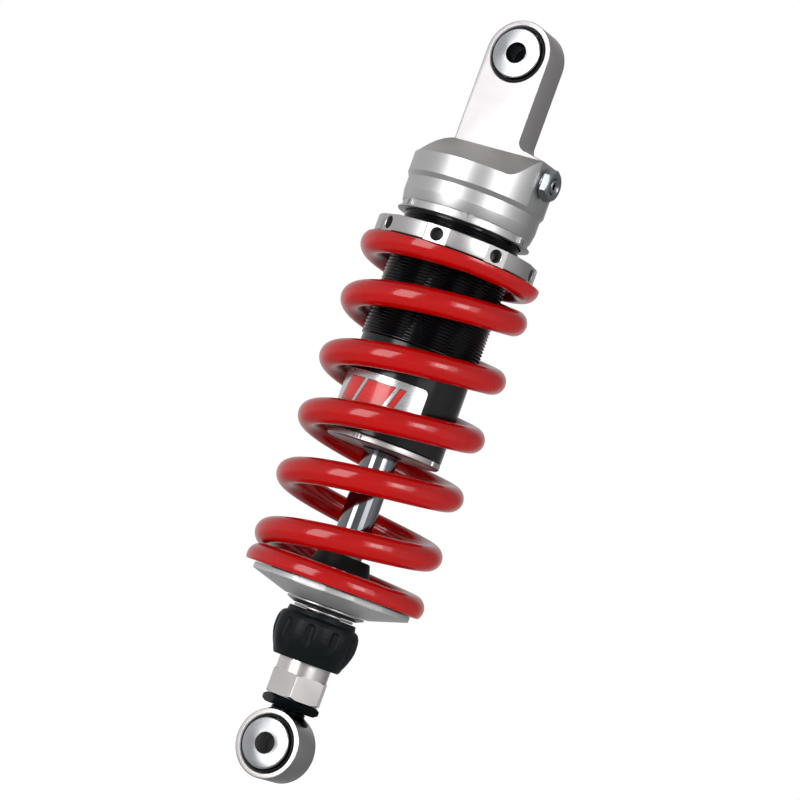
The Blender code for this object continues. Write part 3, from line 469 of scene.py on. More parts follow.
def thread_tree() -> Tree:
    """Right-hand thread, cut into the finely rowed part of a turned tube."""
    tree, given = new_tree("cut_thread", {
        "Pitch": ("NodeSocketFloat", 0.0015), "Depth": ("NodeSocketFloat", 0.0008),
        "Top": ("NodeSocketFloat", 0.0), "Foot": ("NodeSocketFloat", -0.1),
        "Least Radius": ("NodeSocketFloat", 0.02)})
    place = add_node(tree, "GeometryNodeInputPosition")
    x, y, z = axes(tree, place.outputs[0])
    angle = number(tree, "DIVIDE", number(tree, "ARCTAN2", y, x), TAU)
    turns = number(tree, "SUBTRACT", number(tree, "DIVIDE", z, given.outputs["Pitch"]), angle)
    saw = number(tree, "FRACT", turns)
    slope = number(tree, "ABSOLUTE", number(tree, "SUBTRACT",
                                            number(tree, "MULTIPLY", saw, 2.0), 1.0))
    flank = number(tree, "MULTIPLY", number(tree, "SUBTRACT", slope, 0.12), 1.3, clamp=True)
    below = number(tree, "LESS_THAN", z, given.outputs["Top"])
    above = number(tree, "GREATER_THAN", z, given.outputs["Foot"])
    radius = number(tree, "SQRT", number(tree, "ADD", number(tree, "MULTIPLY", x, x),
                                         number(tree, "MULTIPLY", y, y)))
    outside = number(tree, "GREATER_THAN", radius, given.outputs["Least Radius"])
    inside = number(tree, "MULTIPLY", number(tree, "MULTIPLY", below, above), outside)
    cut = number(tree, "MULTIPLY", number(tree, "MULTIPLY", flank, given.outputs["Depth"]), inside)
    out = add_node(tree, "ShaderNodeCombineXYZ", {0: x, 1: y, 2: 0.0})
    unit = add_node(tree, "ShaderNodeVectorMath", {0: out.outputs[0]}, operation="NORMALIZE")
    move = add_node(tree, "ShaderNodeVectorMath",
                    {0: unit.outputs[0], "Scale": number(tree, "MULTIPLY", cut, -1.0)},
                    operation="SCALE")
    moved = add_node(tree, "GeometryNodeSetPosition",
                     {"Geometry": given.outputs["Geometry"], "Offset": move.outputs[0]})
    close_tree(tree, given, moved.outputs[0])
    return tree


# ---- finishes ------------------------------------------------------------
METAL_CLOUDS = 14.0             # size of the clouds a metal's colour drifts in, mm
COAT_CLOUDS = 11.0


def give_surface(finish: "Metal | Coat", tree: Tree, shader: bpy.types.Node,
                 cloud: Socket, dullness: Socket, height: Socket) -> None:
    """Give a shader a finish's colours, roughness and relief.

    Args:
        finish: the metal or coat.
        tree: the material's tree.
        shader: its shader.
        cloud: value that moves the colour to the shade.
        dullness: value that moves the roughness from lowest to highest.
        height: value of the relief.
    """
    tint = mix(tree, cloud, srgb(finish.colour), srgb(finish.shade))
    dull = spread(tree, dullness, 0.25, 0.75, *finish.roughness)
    bump = add_node(tree, "ShaderNodeBump", {"Height": height, "Strength": 1.0,
                                             "Distance": finish.relief * MM})
    for socket, label in ((tint, "Base Color"), (dull, "Roughness"), (bump.outputs[0], "Normal")):
        tree.links.new(socket, shader.inputs[label])


@dataclass(frozen=True)
class Metal:
    """A metal surface with the marks of how it was cut.

    Attributes:
        name: common name of the material and its process.
        colour: its hex colour.
        shade: hex colour that it drifts to in soft clouds.
        roughness: lowest and highest roughness.
        marks: how it was cut.
        pitch: spacing of the marks, in millimetres.
        relief: their depth, in millimetres.
        axis: the line that turned marks run round.
        centre: height of that line, in millimetres.
        lean: angle of milled passes above level, in degrees.
        metallic: 1 for bare metal, less under a dark oxide layer.
        anisotropic: how far turned marks stretch a reflection.
    """

    name: str
    colour: str
    shade: str
    roughness: Point
    marks: Marks
    pitch: float
    relief: float
    axis: Axis = Axis.DAMPER
    centre: float = 0.0
    lean: float = 0.0
    metallic: float = 1.0
    anisotropic: float = 0.0

    def material(self) -> bpy.types.Material:
        """Build the material, or return the one already built."""
        found = bpy.data.materials.get(self.name)
        if found:
            return found
        made, tree, shader = new_material(self.name)
        shader.inputs["Metallic"].default_value = self.metallic
        spot = add_node(tree, "ShaderNodeTexCoord").outputs["Object"]
        moved = add_node(tree, "ShaderNodeMapping",
                         {"Vector": spot, "Location": (0.0, 0.0, -self.centre * MM)})
        marks = self.pattern(tree, moved.outputs[0])
        cloud = noise(tree, spot, METAL_CLOUDS)
        mixed = number(tree, "ADD", number(tree, "MULTIPLY", marks, 0.6),
                       number(tree, "MULTIPLY", cloud, 0.4))
        give_surface(self, tree, shader, cloud, mixed, marks)
        if self.anisotropic:
            shader.inputs["Anisotropic"].default_value = self.anisotropic
            round_it = add_node(tree, "ShaderNodeTangent", direction_type="RADIAL",
                                axis={"z": "Z", "y": "Y", "x": "X"}[self.axis.value])
            tree.links.new(round_it.outputs[0], shader.inputs["Tangent"])
        return made

    def pattern(self, tree: Tree, spot: Socket
                ) -> Socket:
        """Value of the marks, from 0 to 1.

        Args:
            tree: the material's tree.
            spot: position about the axis, in metres.

        Returns:
            The value's socket.
        """
        if self.marks is Marks.BLASTED:
            return noise(tree, spot, self.pitch, 3.0)
        x, y, z = axes(tree, spot)
        if self.marks is Marks.MILLED:
            lean = math.radians(self.lean)
            line = number(tree, "ADD", number(tree, "MULTIPLY", x, math.sin(lean)),
                          number(tree, "MULTIPLY", z, math.cos(lean)))
        else:
            along, across = {"z": (z, (x, y)), "y": (y, (x, z)), "x": (x, (y, z))}[self.axis.value]
            squares = [number(tree, "MULTIPLY", side, side) for side in across]
            line = number(tree, "ADD", along, number(tree, "SQRT", number(tree, "ADD", *squares)))
        lines = add_node(tree, "ShaderNodeTexNoise",
                         {"W": number(tree, "DIVIDE", line, self.pitch * MM), "Scale": 1.0,
                          "Detail": 3.0, "Roughness": 0.65}, noise_dimensions="1D")
        return lines.outputs[0]


@dataclass(frozen=True)
class Coat:
    """A coated or moulded surface: paint, rubber or plastic.

    Attributes:
        name: common name of the material and its process.
        colour: its hex colour.
        shade: hex colour that it drifts to in soft clouds.
        roughness: lowest and highest roughness.
        grain: size of the surface's unevenness, in millimetres.
        relief: its depth, in millimetres.
        ior: index of refraction.
        coat: weight of the clear layer on top.
    """

    name: str
    colour: str
    shade: str
    roughness: Point
    grain: float
    relief: float
    ior: float = 1.5
    coat: float = 0.0

    def material(self) -> bpy.types.Material:
        """Build the material, or return the one already built."""
        found = bpy.data.materials.get(self.name)
        if found:
            return found
        made, tree, shader = new_material(self.name)
        shader.inputs["IOR"].default_value = self.ior
        shader.inputs["Coat Weight"].default_value = self.coat
        shader.inputs["Coat Roughness"].default_value = 0.04
        spot = add_node(tree, "ShaderNodeTexCoord").outputs["Object"]
        cloud = noise(tree, spot, COAT_CLOUDS)
        give_surface(self, tree, shader, cloud, cloud, noise(tree, spot, self.grain))
        return made


def new_material(name: str) -> tuple[bpy.types.Material, Tree, bpy.types.Node]:
    """Start a material, and return it with its tree and its shader."""
    made = bpy.data.materials.new(name)
    made.use_nodes = True
    return made, made.node_tree, made.node_tree.nodes["Principled BSDF"]


@dataclass(frozen=True)
class PrintedFilm:
    """Silver polyester film with printed slanting bars, under a clear layer.

    Attributes:
        name: common name of the material and its process.
        film: hex colour of the metallised film.
        ink: hex colour of the bars.
        line: hex colour of the thin key lines.
        radius: radius it is wrapped at, in millimetres.
        foot: height of its lower edge.
        height: its height.
        bars: start and end of each bar along the film from the -Y side, in millimetres.
        slant: how far a bar leans over the film's height, in millimetres.
    """

    name: str = "printed_polyester_film"
    film: str = "#D9DADC"
    ink: str = "#C81E18"
    line: str = "#2A2426"
    radius: float = 27.3
    foot: float = 0.0
    height: float = 18.0
    bars: tuple[Point, ...] = ((-20.5, -11.5), (-9.0, 4.5), (7.0, 9.5))
    slant: float = 6.0

    def material(self) -> bpy.types.Material:
        """Build the material: bars masked by arc length and height."""
        made, tree, shader = new_material(self.name)
        shader.inputs["Coat Weight"].default_value = 0.6
        shader.inputs["Coat Roughness"].default_value = 0.05
        spot = add_node(tree, "ShaderNodeTexCoord").outputs["Object"]
        x, y, z = axes(tree, spot)
        arc = number(tree, "MULTIPLY", number(tree, "ARCTAN2", x,
                                              number(tree, "MULTIPLY", y, -1.0)), self.radius)
        up = number(tree, "SUBTRACT", number(tree, "DIVIDE", z, MM), self.foot)
        lean = number(tree, "SUBTRACT", arc, number(tree, "MULTIPLY", up,
                                                    self.slant / self.height))
        inset = self.height * 0.2
        tall = self.band(tree, up, inset, self.height - inset)
        edge = self.band(tree, up, inset - 0.35, self.height - inset + 0.35)
        ink: object = 0.0
        key: object = 0.0
        for start, end in self.bars:
            inner = number(tree, "MULTIPLY", self.band(tree, lean, start, end), tall)
            outer = number(tree, "MULTIPLY", self.band(tree, lean, start - 0.35, end + 0.35), edge)
            ink = number(tree, "MAXIMUM", inner, ink)
            key = number(tree, "MAXIMUM", outer, key)
        lined = mix(tree, key, srgb(self.film), srgb(self.line))
        tree.links.new(mix(tree, ink, lined, srgb(self.ink)), shader.inputs["Base Color"])
        bare = number(tree, "MULTIPLY", number(tree, "SUBTRACT", 1.0, key), 0.9)
        tree.links.new(bare, shader.inputs["Metallic"])
        dull = spread(tree, noise(tree, spot, 2.0), 0.0, 1.0, 0.2, 0.34)
        tree.links.new(dull, shader.inputs["Roughness"])
        return made

    @staticmethod
    def band(tree: Tree, value: Socket, low: float, high: float
             ) -> Socket:
        """1 where a value lies between two limits, else 0."""
        above = number(tree, "GREATER_THAN", value, low)
        return number(tree, "MULTIPLY", above, number(tree, "LESS_THAN", value, high))


# Clear-anodised aluminium, turned: a bright satin grey whose fine rings run round
# the axis and soften reflections.
TURNED_SATIN = Metal("clear_anodised_aluminium_turned", "#D8D7D7", "#CFCFCF", (0.36, 0.46),
                     Marks.TURNED, 0.5, 0.012)
# The same on the spring seat, painted paler as painted light on its downward-facing cone,
# and a little rougher and less metallic: more diffuse.
SEAT_SATIN_PAINTED_LIGHT = Metal("clear_anodised_aluminium_blasted", "#E4E4E4", "#DADADA", (0.42, 0.5),
                   Marks.TURNED, 0.5, 0.012, metallic=0.9)
# The same, milled flat: faint level passes across the tang, a little brighter.
MILLED_SATIN = Metal("clear_anodised_aluminium_milled", "#CFCBCC", "#C4C1C1", (0.38, 0.48),
                     Marks.MILLED, 2.4, 0.01)
# The same, cut by a ball-nosed mill: slanting fine passes on the sloping crown.
CROWN_SATIN = Metal("clear_anodised_aluminium_ball_milled", "#D2D0CE", "#C6C4C2", (0.42, 0.5),
                    Marks.MILLED, 0.7, 0.025, lean=38.0)
# Bare aluminium, turned and not anodised: brighter and smoother.
TURNED_BRIGHT = Metal("aluminium_turned_bright", "#D3D0CF", "#C9C7C7", (0.32, 0.42),
                      Marks.TURNED, 0.6, 0.006)
# Drilled holes in aluminium, unpolished, painted dark grey as shade on their walls.
DRILLED_PAINTED_SHADE = Metal("aluminium_drilled", "#6A6C69", "#5A5D5A", (0.45, 0.55), Marks.BLASTED, 0.6, 0.01,
                metallic=0.6)
# Machined aluminium hexagon and eye, wiped bright, with a slightly warm cast.
MACHINED = Metal("aluminium_machined", "#F2EDEB", "#E8E4E2", (0.26, 0.34),
                 Marks.BLASTED, 0.6, 0.003)
# Zinc-plated steel: a cool grey, fairly smooth.
ZINC_STEEL = Metal("zinc_plated_steel", "#AEB4B6", "#9AA1A4", (0.2, 0.3),
                   Marks.BLASTED, 0.8, 0.006)
# Hard chrome on a ground rod: nearly a mirror.
HARD_CHROME = Metal("hard_chrome_on_steel", "#94969B", "#8A8C91", (0.05, 0.1),
                    Marks.TURNED, 0.4, 0.001)
# Ground bearing steel, oiled.
BEARING_STEEL = Metal("bearing_steel_ground", "#9C9C9E", "#8A8A8D", (0.15, 0.25),
                      Marks.BLASTED, 0.5, 0.002)
# Sintered bronze: porous, warm and dull.
BRONZE = Metal("sintered_bronze", "#9A7340", "#86622F", (0.35, 0.5), Marks.BLASTED, 0.4, 0.01)
# Black anodised aluminium: a dark dyed oxide layer, glossy where the tube is smooth.
BLACK_ANODISED = Metal("black_anodised_aluminium", "#030407", "#020305", (0.16, 0.22),
                       Marks.TURNED, 0.5, 0.002, metallic=0.0)
# Black oxide on steel: dark with a faint grey sheen, on the lock nut. The same black is painted
# shade on the lower eye's neck, in the upper bolt holes and in the valve core's socket.
BLACK_OXIDE_AND_PAINTED_SHADE = Metal("black_oxide_steel", "#141A1E", "#0F1417", (0.3, 0.4),
                    Marks.BLASTED, 0.5, 0.004)
# Red powder coat with a clear coat: deep and glossy, with a slight orange peel.
RED_PAINT = Coat("red_powder_coat_gloss", "#A50302", "#9C0201", (0.14, 0.2), 2.6, 0.012,
                 ior=1.43, coat=0.3)
# Nitrile rubber, moulded: black and dull.
RUBBER = Coat("nitrile_rubber_moulded", "#040506", "#07090A", (0.45, 0.6), 0.5, 0.008,
              ior=1.36)
# Glass-filled nylon, moulded: a soft black with a cool cast and a fine spark texture.
NYLON = Coat("glass_filled_nylon_moulded", "#04090B", "#070D10", (0.42, 0.52), 0.45, 0.02,
             ior=1.32)


# ---- assembling ----------------------------------------------------------
def dress(obj: Obj, finish: Metal | Coat | PrintedFilm) -> Obj:
    """Give an object one finish all over."""
    obj.data.materials.clear()
    obj.data.materials.append(finish.material())
    return obj


def dress_faces(obj: Obj, finish: Metal | Coat,
                chosen: Callable[[Vector, Vector], bool]) -> None:
    """Give some faces another finish.

    Args:
        obj: the piece.
        finish: the finish.
        chosen: tells from a face's centre, in millimetres, and normal whether it has it.
    """
    obj.data.materials.append(finish.material())
    slot = len(obj.data.materials) - 1
    for face in obj.data.polygons:
        if chosen(face.center / MM, face.normal):
            face.material_index = slot


def settle(piece: Obj, body: str, slot: str, *nodes: str) -> None:
    """Let a finished piece ride on a body in place of CAD nodes.

    Args:
        piece: the piece.
        body: the CAD body it moves with.
        slot: not used.
        nodes: the CAD nodes it stands for.
    """
    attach(piece, body)
    enter(piece, slot, *nodes)


def enter(piece: Obj, slot: str, *nodes: str) -> None:
    """Hide the CAD nodes that a piece stands for, and log its faces."""
    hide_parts(*nodes)
    log.info("%s: %d faces", piece.name, len(piece.data.polygons))


@dataclass
class Trees:
    """The Geometry Nodes trees that the pieces share."""

    copies: Tree = field(default_factory=copies_tree)
    wire: Tree = field(default_factory=wire_tree)
    thread: Tree = field(default_factory=thread_tree)

    def ring(self, obj: Obj, count: int) -> Obj:
        """Copy a shape evenly about the damper axis."""
        return run_tree(obj, self.copies, Count=count)


@dataclass
class MountCap:
    """Upper mount: a turned cap with a flat tang and its eye."""

    radius: float = 32.6
    band_radius: float = 31.5
    ring_radius: float = 30.1
    lip_radius: float = 31.5
    crown: float = -44.5
    rim: float = -56.8
    chamfer: Point = (-66.2, -68.4)
    taper: float = -74.4
    ring: Point = (-79.3, -82.3)
    eye_radius: float = 16.0
    half: float = 8.5
    fillet: float = 5.0
    shoulder: float = -42.2
    shoulder_fall: float = 2.5
    race_radius: float = 13.3
    bore_radius: float = 27.8
    roof: float = -61.7
    valve: float = -53.0
    valve_bore: float = 4.8
    ledge: float = 0.1
    swell: float = 3.0
    ribs: int = 6
    rib_at: float = 28.3
    columns: int = 240

    @property
    def flat(self) -> float:
        """Distance of the valve's flat from the axis."""
        return math.sqrt(self.radius ** 2 - (self.half + self.ledge) ** 2)

    def rim_height(self, angle: float) -> float:
        """Height where the crown meets the cylinder: it climbs in an S to the valve."""
        rise = min(1.0, max(0.0, (44 - abs(math.degrees(angle))) / 30))
        ease = rise * rise * (3 - 2 * rise)
        return self.rim + (self.crown - GAP - self.rim) * ease

    def foot_point(self, angle: float) -> Point:
        """Point on the tang's rectangular foot in a direction from the axis."""
        x, y = math.cos(angle), math.sin(angle)
        side = self.flat if x > 0 else self.eye_radius + self.ledge
        reach = min(side / max(abs(x), 1e-9), (self.half + self.ledge) / max(abs(y), 1e-9))
        return reach * x, reach * y

    def round_body(self) -> Obj:
        """Turned bands below, and the crown that slopes up to the tang's foot."""
        low, _ = heights("upper_mount_cap")
        bands = rounded([(0, low, 0), (self.lip_radius, low, 0.35),
                         (self.lip_radius, self.ring[1], 0.15),
                         (self.ring_radius, self.ring[1], 0.1),
                         (self.ring_radius, self.ring[0], 0.1),
                         (self.band_radius - 0.9, self.ring[0] + 0.1, 0.2),
                         (self.band_radius, self.taper, 0.5),
                         (self.band_radius, self.chamfer[1], 0.3),
                         (self.radius, self.chamfer[0], 0.4),
                         (self.radius, self.rim, 0)], steps=3)[1:-1]
        corner = math.atan2(self.half + self.ledge, self.flat)
        back = math.atan2(self.half + self.ledge, -self.eye_radius - self.ledge)
        exact = [-back, -corner, corner, back]
        even = [-math.pi + TAU * i / self.columns for i in range(self.columns)]
        angles = sorted(exact + [a for a in even if min(abs(a - e) for e in exact) > 0.008])
        shape = bmesh.new()

        def ring(points: list[tuple[float, float, float]]) -> list[bmesh.types.BMVert]:
            return [shape.verts.new(Vector(p) * MM) for p in points]

        loops = [ring([(r * math.cos(a), r * math.sin(a), z) for a in angles]) for r, z in bands]
        for share in (0.0, 0.03, 0.12, 0.3, 0.5, 0.7, 0.88, 1.0):
            points = []
            for a in angles:
                x, y = self.foot_point(a)
                swell = self.swell * 4 * share * (1 - share) * max(0.0, -math.cos(a)) ** 3
                height = self.rim_height(a) * (1 - share) + self.crown * share + swell
                points.append((self.radius * math.cos(a) * (1 - share) + x * share,
                               self.radius * math.sin(a) * (1 - share) + y * share, height))
            loops.append(ring(points))
        count = len(angles)
        for lower, upper in zip(loops, loops[1:]):
            for i in range(count):
                j = (i + 1) % count
                shape.faces.new((lower[i], lower[j], upper[j], upper[i]))
        shape.faces.new(loops[0])
        shape.faces.new(loops[-1])
        return as_object("upper_mount_cap_fine", shape)

    def tang(self) -> Obj:
        """Flat tang with a round end, a fillet and the valve's shoulder, edges eased."""
        ease = 0.35
        r, f = self.eye_radius, self.fillet
        points = [(r * math.cos(math.pi * (1 - i / 48)), r * math.sin(math.pi * (1 - i / 48)))
                  for i in range(49)]
        points += [(r + f + f * math.cos(math.pi * (1 + i / 24)),
                    self.shoulder + f + f * math.sin(math.pi * (1 + i / 24))) for i in range(13)]
        root = self.rim - 2
        points += [(self.flat + 1, self.shoulder - self.shoulder_fall), (self.flat + 1, root),
                   (1 - r, root), (-r, self.crown - 1)]
        data = bpy.data.curves.new("tang", "CURVE")
        data.dimensions = "2D"
        data.fill_mode = "BOTH"
        data.extrude = (self.half - ease) * MM
        data.bevel_depth = ease * MM
        data.bevel_resolution = 2
        data.offset = -ease * MM
        spline = data.splines.new("POLY")
        spline.points.add(len(points) - 1)
        for knot, (x, z) in zip(spline.points, points):
            knot.co = (x * MM, z * MM, 0, 1)
        spline.use_cyclic_u = True
        outline = in_scene("tang", data)
        bpy.context.view_layer.update()
        mesh = bpy.data.meshes.new_from_object(
            outline.evaluated_get(bpy.context.evaluated_depsgraph_get()))
        bpy.data.objects.remove(outline, do_unlink=True)
        shape = bmesh.new()
        shape.from_mesh(mesh)
        bmesh.ops.transform(shape, matrix=Matrix.Rotation(math.pi / 2, 4, "X"), verts=shape.verts)
        return as_object("tang", shape)

    def slots(self, trees: Trees) -> Obj:
        """Ribs in pairs that part the long slots of the lower ring."""
        tall = self.ring[0] - self.ring[1] - 0.1
        pair = [block("rib", (self.ring_radius - 0.5, side * 1.6, sum(self.ring) / 2),
                      (2 * (self.lip_radius - self.ring_radius + 0.4), 1.8, tall), self.rib_at)
                for side in (-1, 1)]
        both = combined(pair[0], ("UNION", pair[1]))
        return trees.ring(both, self.ribs)

    def build(self, trees: Trees) -> None:
        """Make the cap and dress each kind of cut face."""
        cap = combined(self.round_body(), ("UNION", self.tang()))
        reach = self.half + 0.4
        eye = eye_bore(self.race_radius, reach)
        low = heights("upper_mount_cap")[0] - 2
        bore = turned("tube_bore", [(0, self.roof), (self.bore_radius, self.roof),
                                    (self.bore_radius, low), (0, low)])
        flat = block("valve_flat", (self.flat + 4, 0, self.valve - 5), (8, 26, 70))
        valve = turned("valve_bore", [(0, self.flat - 8.6), (self.valve_bore, self.flat - 8.6),
                                      (self.valve_bore, self.flat + 2), (0, self.flat + 2)],
                       Axis.VALVE, self.valve, steps=48)
        ribs = self.slots(trees)
        cap = combined(cap, ("UNION", ribs), ("DIFFERENCE", flat), ("DIFFERENCE", eye),
                       ("DIFFERENCE", bore), ("DIFFERENCE", valve))
        cap.name = "upper_mount_cap_fine"
        dress(cap, TURNED_SATIN)
        edge = self.half - 0.05
        dress_faces(cap, MILLED_SATIN, lambda c, n: c.z > self.crown + 0.05
                    or (abs(n.y) > 0.95 and c.z > self.rim and abs(c.y) > edge))
        dress_faces(cap, CROWN_SATIN, lambda c, n: self.rim - 0.2 < c.z < self.crown + 0.02
                    and n.z > 0.25)
        settle(cap, "damper_body", "satin_aluminium", "upper_mount_cap")


@dataclass
class GasValve:
    """Hexagonal gas plug on the cap's flat, with its washer and socketed core."""

    height: float = -53.0
    across: float = 13.2
    head: float = 3.6
    washer: float = 0.8
    shank_radius: float = 4.5
    shank: float = 8.0
    pocket: float = 3.5
    core_radius: float = 3.2
    core_proud: float = 0.4
    core_depth: float = 2.4
    socket: float = 3.0

    def build(self) -> None:
        """Make the washer, the plug and the core, from the cap outwards."""
        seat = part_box("gas_valve_washer")[0].x / MM
        start = seat + self.washer + GAP
        tip = start + self.head
        ring = rounded([(self.shank_radius + GAP, seat, 0.1), (self.across / 2, seat, 0.2),
                        (self.across / 2, seat + self.washer, 0.4),
                        (self.shank_radius + GAP, seat + self.washer, 0.1)])
        washer = turned("gas_valve_washer_fine", ring, Axis.VALVE, self.height)
        settle(dress(washer, ZINC_STEEL), "damper_body", "plain_steel", "gas_valve_washer")

        place = Matrix.Translation((0, 0, self.height * MM)) @ Matrix.Rotation(
            math.pi / 2, 4, "Y")
        plug = hexagon("gas_valve_plug_fine", self.across, start, tip, place)
        wide = self.across / math.sqrt(3)
        barrel = turned("barrel", [(0, start - 0.1), (wide - 0.3, start - 0.1),
                                   (wide + 0.2, start + 0.4), (wide + 0.2, tip - 1.1),
                                   (wide - 1.5, tip + 0.01), (0, tip + 0.01)],
                        Axis.VALVE, self.height)
        shank = turned("shank", rounded([(0, seat - self.shank, 0),
                                         (self.shank_radius, seat - self.shank, 0.5),
                                         (self.shank_radius, start + 1, 0),
                                         (0, start + 1, 0)]), Axis.VALVE, self.height)
        pocket = turned("pocket", [(0, tip - self.core_depth - GAP),
                                   (self.pocket, tip - self.core_depth - GAP),
                                   (self.pocket, tip - 1.0), (self.pocket + 0.9, tip + 0.2),
                                   (0, tip + 0.2)], Axis.VALVE, self.height)
        feed = turned("feed", [(0, seat - self.shank - 2), (1.25, seat - self.shank - 2),
                               (1.25, tip), (0, tip)], Axis.VALVE, self.height,
                      steps=24)
        plug = combined(plug, ("INTERSECT", barrel), ("UNION", shank), ("DIFFERENCE", pocket),
                        ("DIFFERENCE", feed))
        settle(dress(plug, ZINC_STEEL), "damper_body", "plain_steel", "gas_valve_plug")

        floor = tip - self.core_depth
        top = tip + self.core_proud
        core = turned("gas_valve_core_fine", rounded([
            (0, floor, 0), (self.core_radius, floor, 0.2), (self.core_radius, top - 0.5, 0.5),
            (self.core_radius - 0.9, top, 0.3), (self.socket / 1.6, top - 0.9, 0.2),
            (0, top - 0.9, 0)]), Axis.VALVE, self.height, steps=64)
        key = hexagon("socket", self.socket, tip - 1.6, top + 1, place, 0.1)
        core = combined(core, ("DIFFERENCE", key))
        dress(core, ZINC_STEEL)
        # Painted shade: the faces inside the hex socket are painted black.
        dress_faces(core, BLACK_OXIDE_AND_PAINTED_SHADE, lambda c, n: c.x < top - 1.0 and c.x > floor + 0.1
                    and math.hypot(c.y, c.z - self.height) < self.socket * 0.7)
        settle(core, "damper_body", "bearing_bronze", "gas_valve_core")


@dataclass
class EyeBearing:
    """Spherical bearing in an eye: two turned collars and their rubber seals.

    Attributes:
        prefix: upper or lower, as the CAD nodes are named.
        fixed: the body of the seals.
        moving: the body of the collars.
        height: height of the eye's centre.
        black_painted_bore_shade: whether the shade painted in the bolt hole is black; else it is
            dark grey.
    """

    prefix: str
    fixed: str
    moving: str
    height: float
    black_painted_bore_shade: bool
    face: float = 10.3
    under: float = 5.7
    radius: float = 11.6
    spigot: float = 7.0
    bolt: float = 5.0
    race_radius: float = 13.0
    seal_face: float = 8.2
    seal_foot: float = 4.8

    def build(self) -> None:
        """Make both sides of the bearing."""
        rings = Metal(f"aluminium_faced_bright_{self.prefix}", "#DDDEE1", "#D0D2D6",
                      (0.16, 0.24), Marks.TURNED, 0.45, 0.004, Axis.BOLT, self.height,
                      anisotropic=0.75)
        for side, sign in (("front", 1), ("rear", -1)):
            collar = turned(f"{self.prefix}_collar_{side}_fine", self.flip(sign, rounded([
                (self.bolt, self.face, 0), (self.bolt + 0.5, self.face, 0.3),
                (self.radius, self.face, 0.6), (self.radius, self.under, 0.1),
                (self.spigot, self.under, 0.1), (self.spigot, 0.15, 0.1),
                (self.bolt, 0.15, 0.35), (self.bolt, self.face - 0.5, 0.2)])),
                Axis.BOLT, self.height)
            dress(collar, rings)
            # Painted shade: the bolt hole's faces are painted black or dark grey.
            dress_faces(collar, BLACK_OXIDE_AND_PAINTED_SHADE if self.black_painted_bore_shade else DRILLED_PAINTED_SHADE,
                        lambda c, n: math.hypot(c.x, c.z - self.height) < self.bolt + 0.2)
            settle(collar, self.moving, "turned_aluminium", f"{self.prefix}_collar_{side}")
            seal = turned(f"{self.prefix}_seal_{side}_fine", self.flip(sign, rounded([
                (self.radius + GAP, self.seal_face - 0.4, 0.3),
                (self.race_radius - 0.6, self.seal_face, 0.3),
                (self.race_radius, self.seal_face, 0.3), (self.race_radius, self.seal_foot, 0.2),
                (self.radius + GAP, self.seal_foot, 0.2)])), Axis.BOLT, self.height)
            settle(dress(seal, RUBBER), self.fixed, "black_rubber",
                   f"{self.prefix}_seal_{side}")

    @staticmethod
    def flip(sign: int, outline: list[Point]) -> list[Point]:
        """Put an outline on the front or the rear side."""
        return [(radius, sign * height) for radius, height in outline]


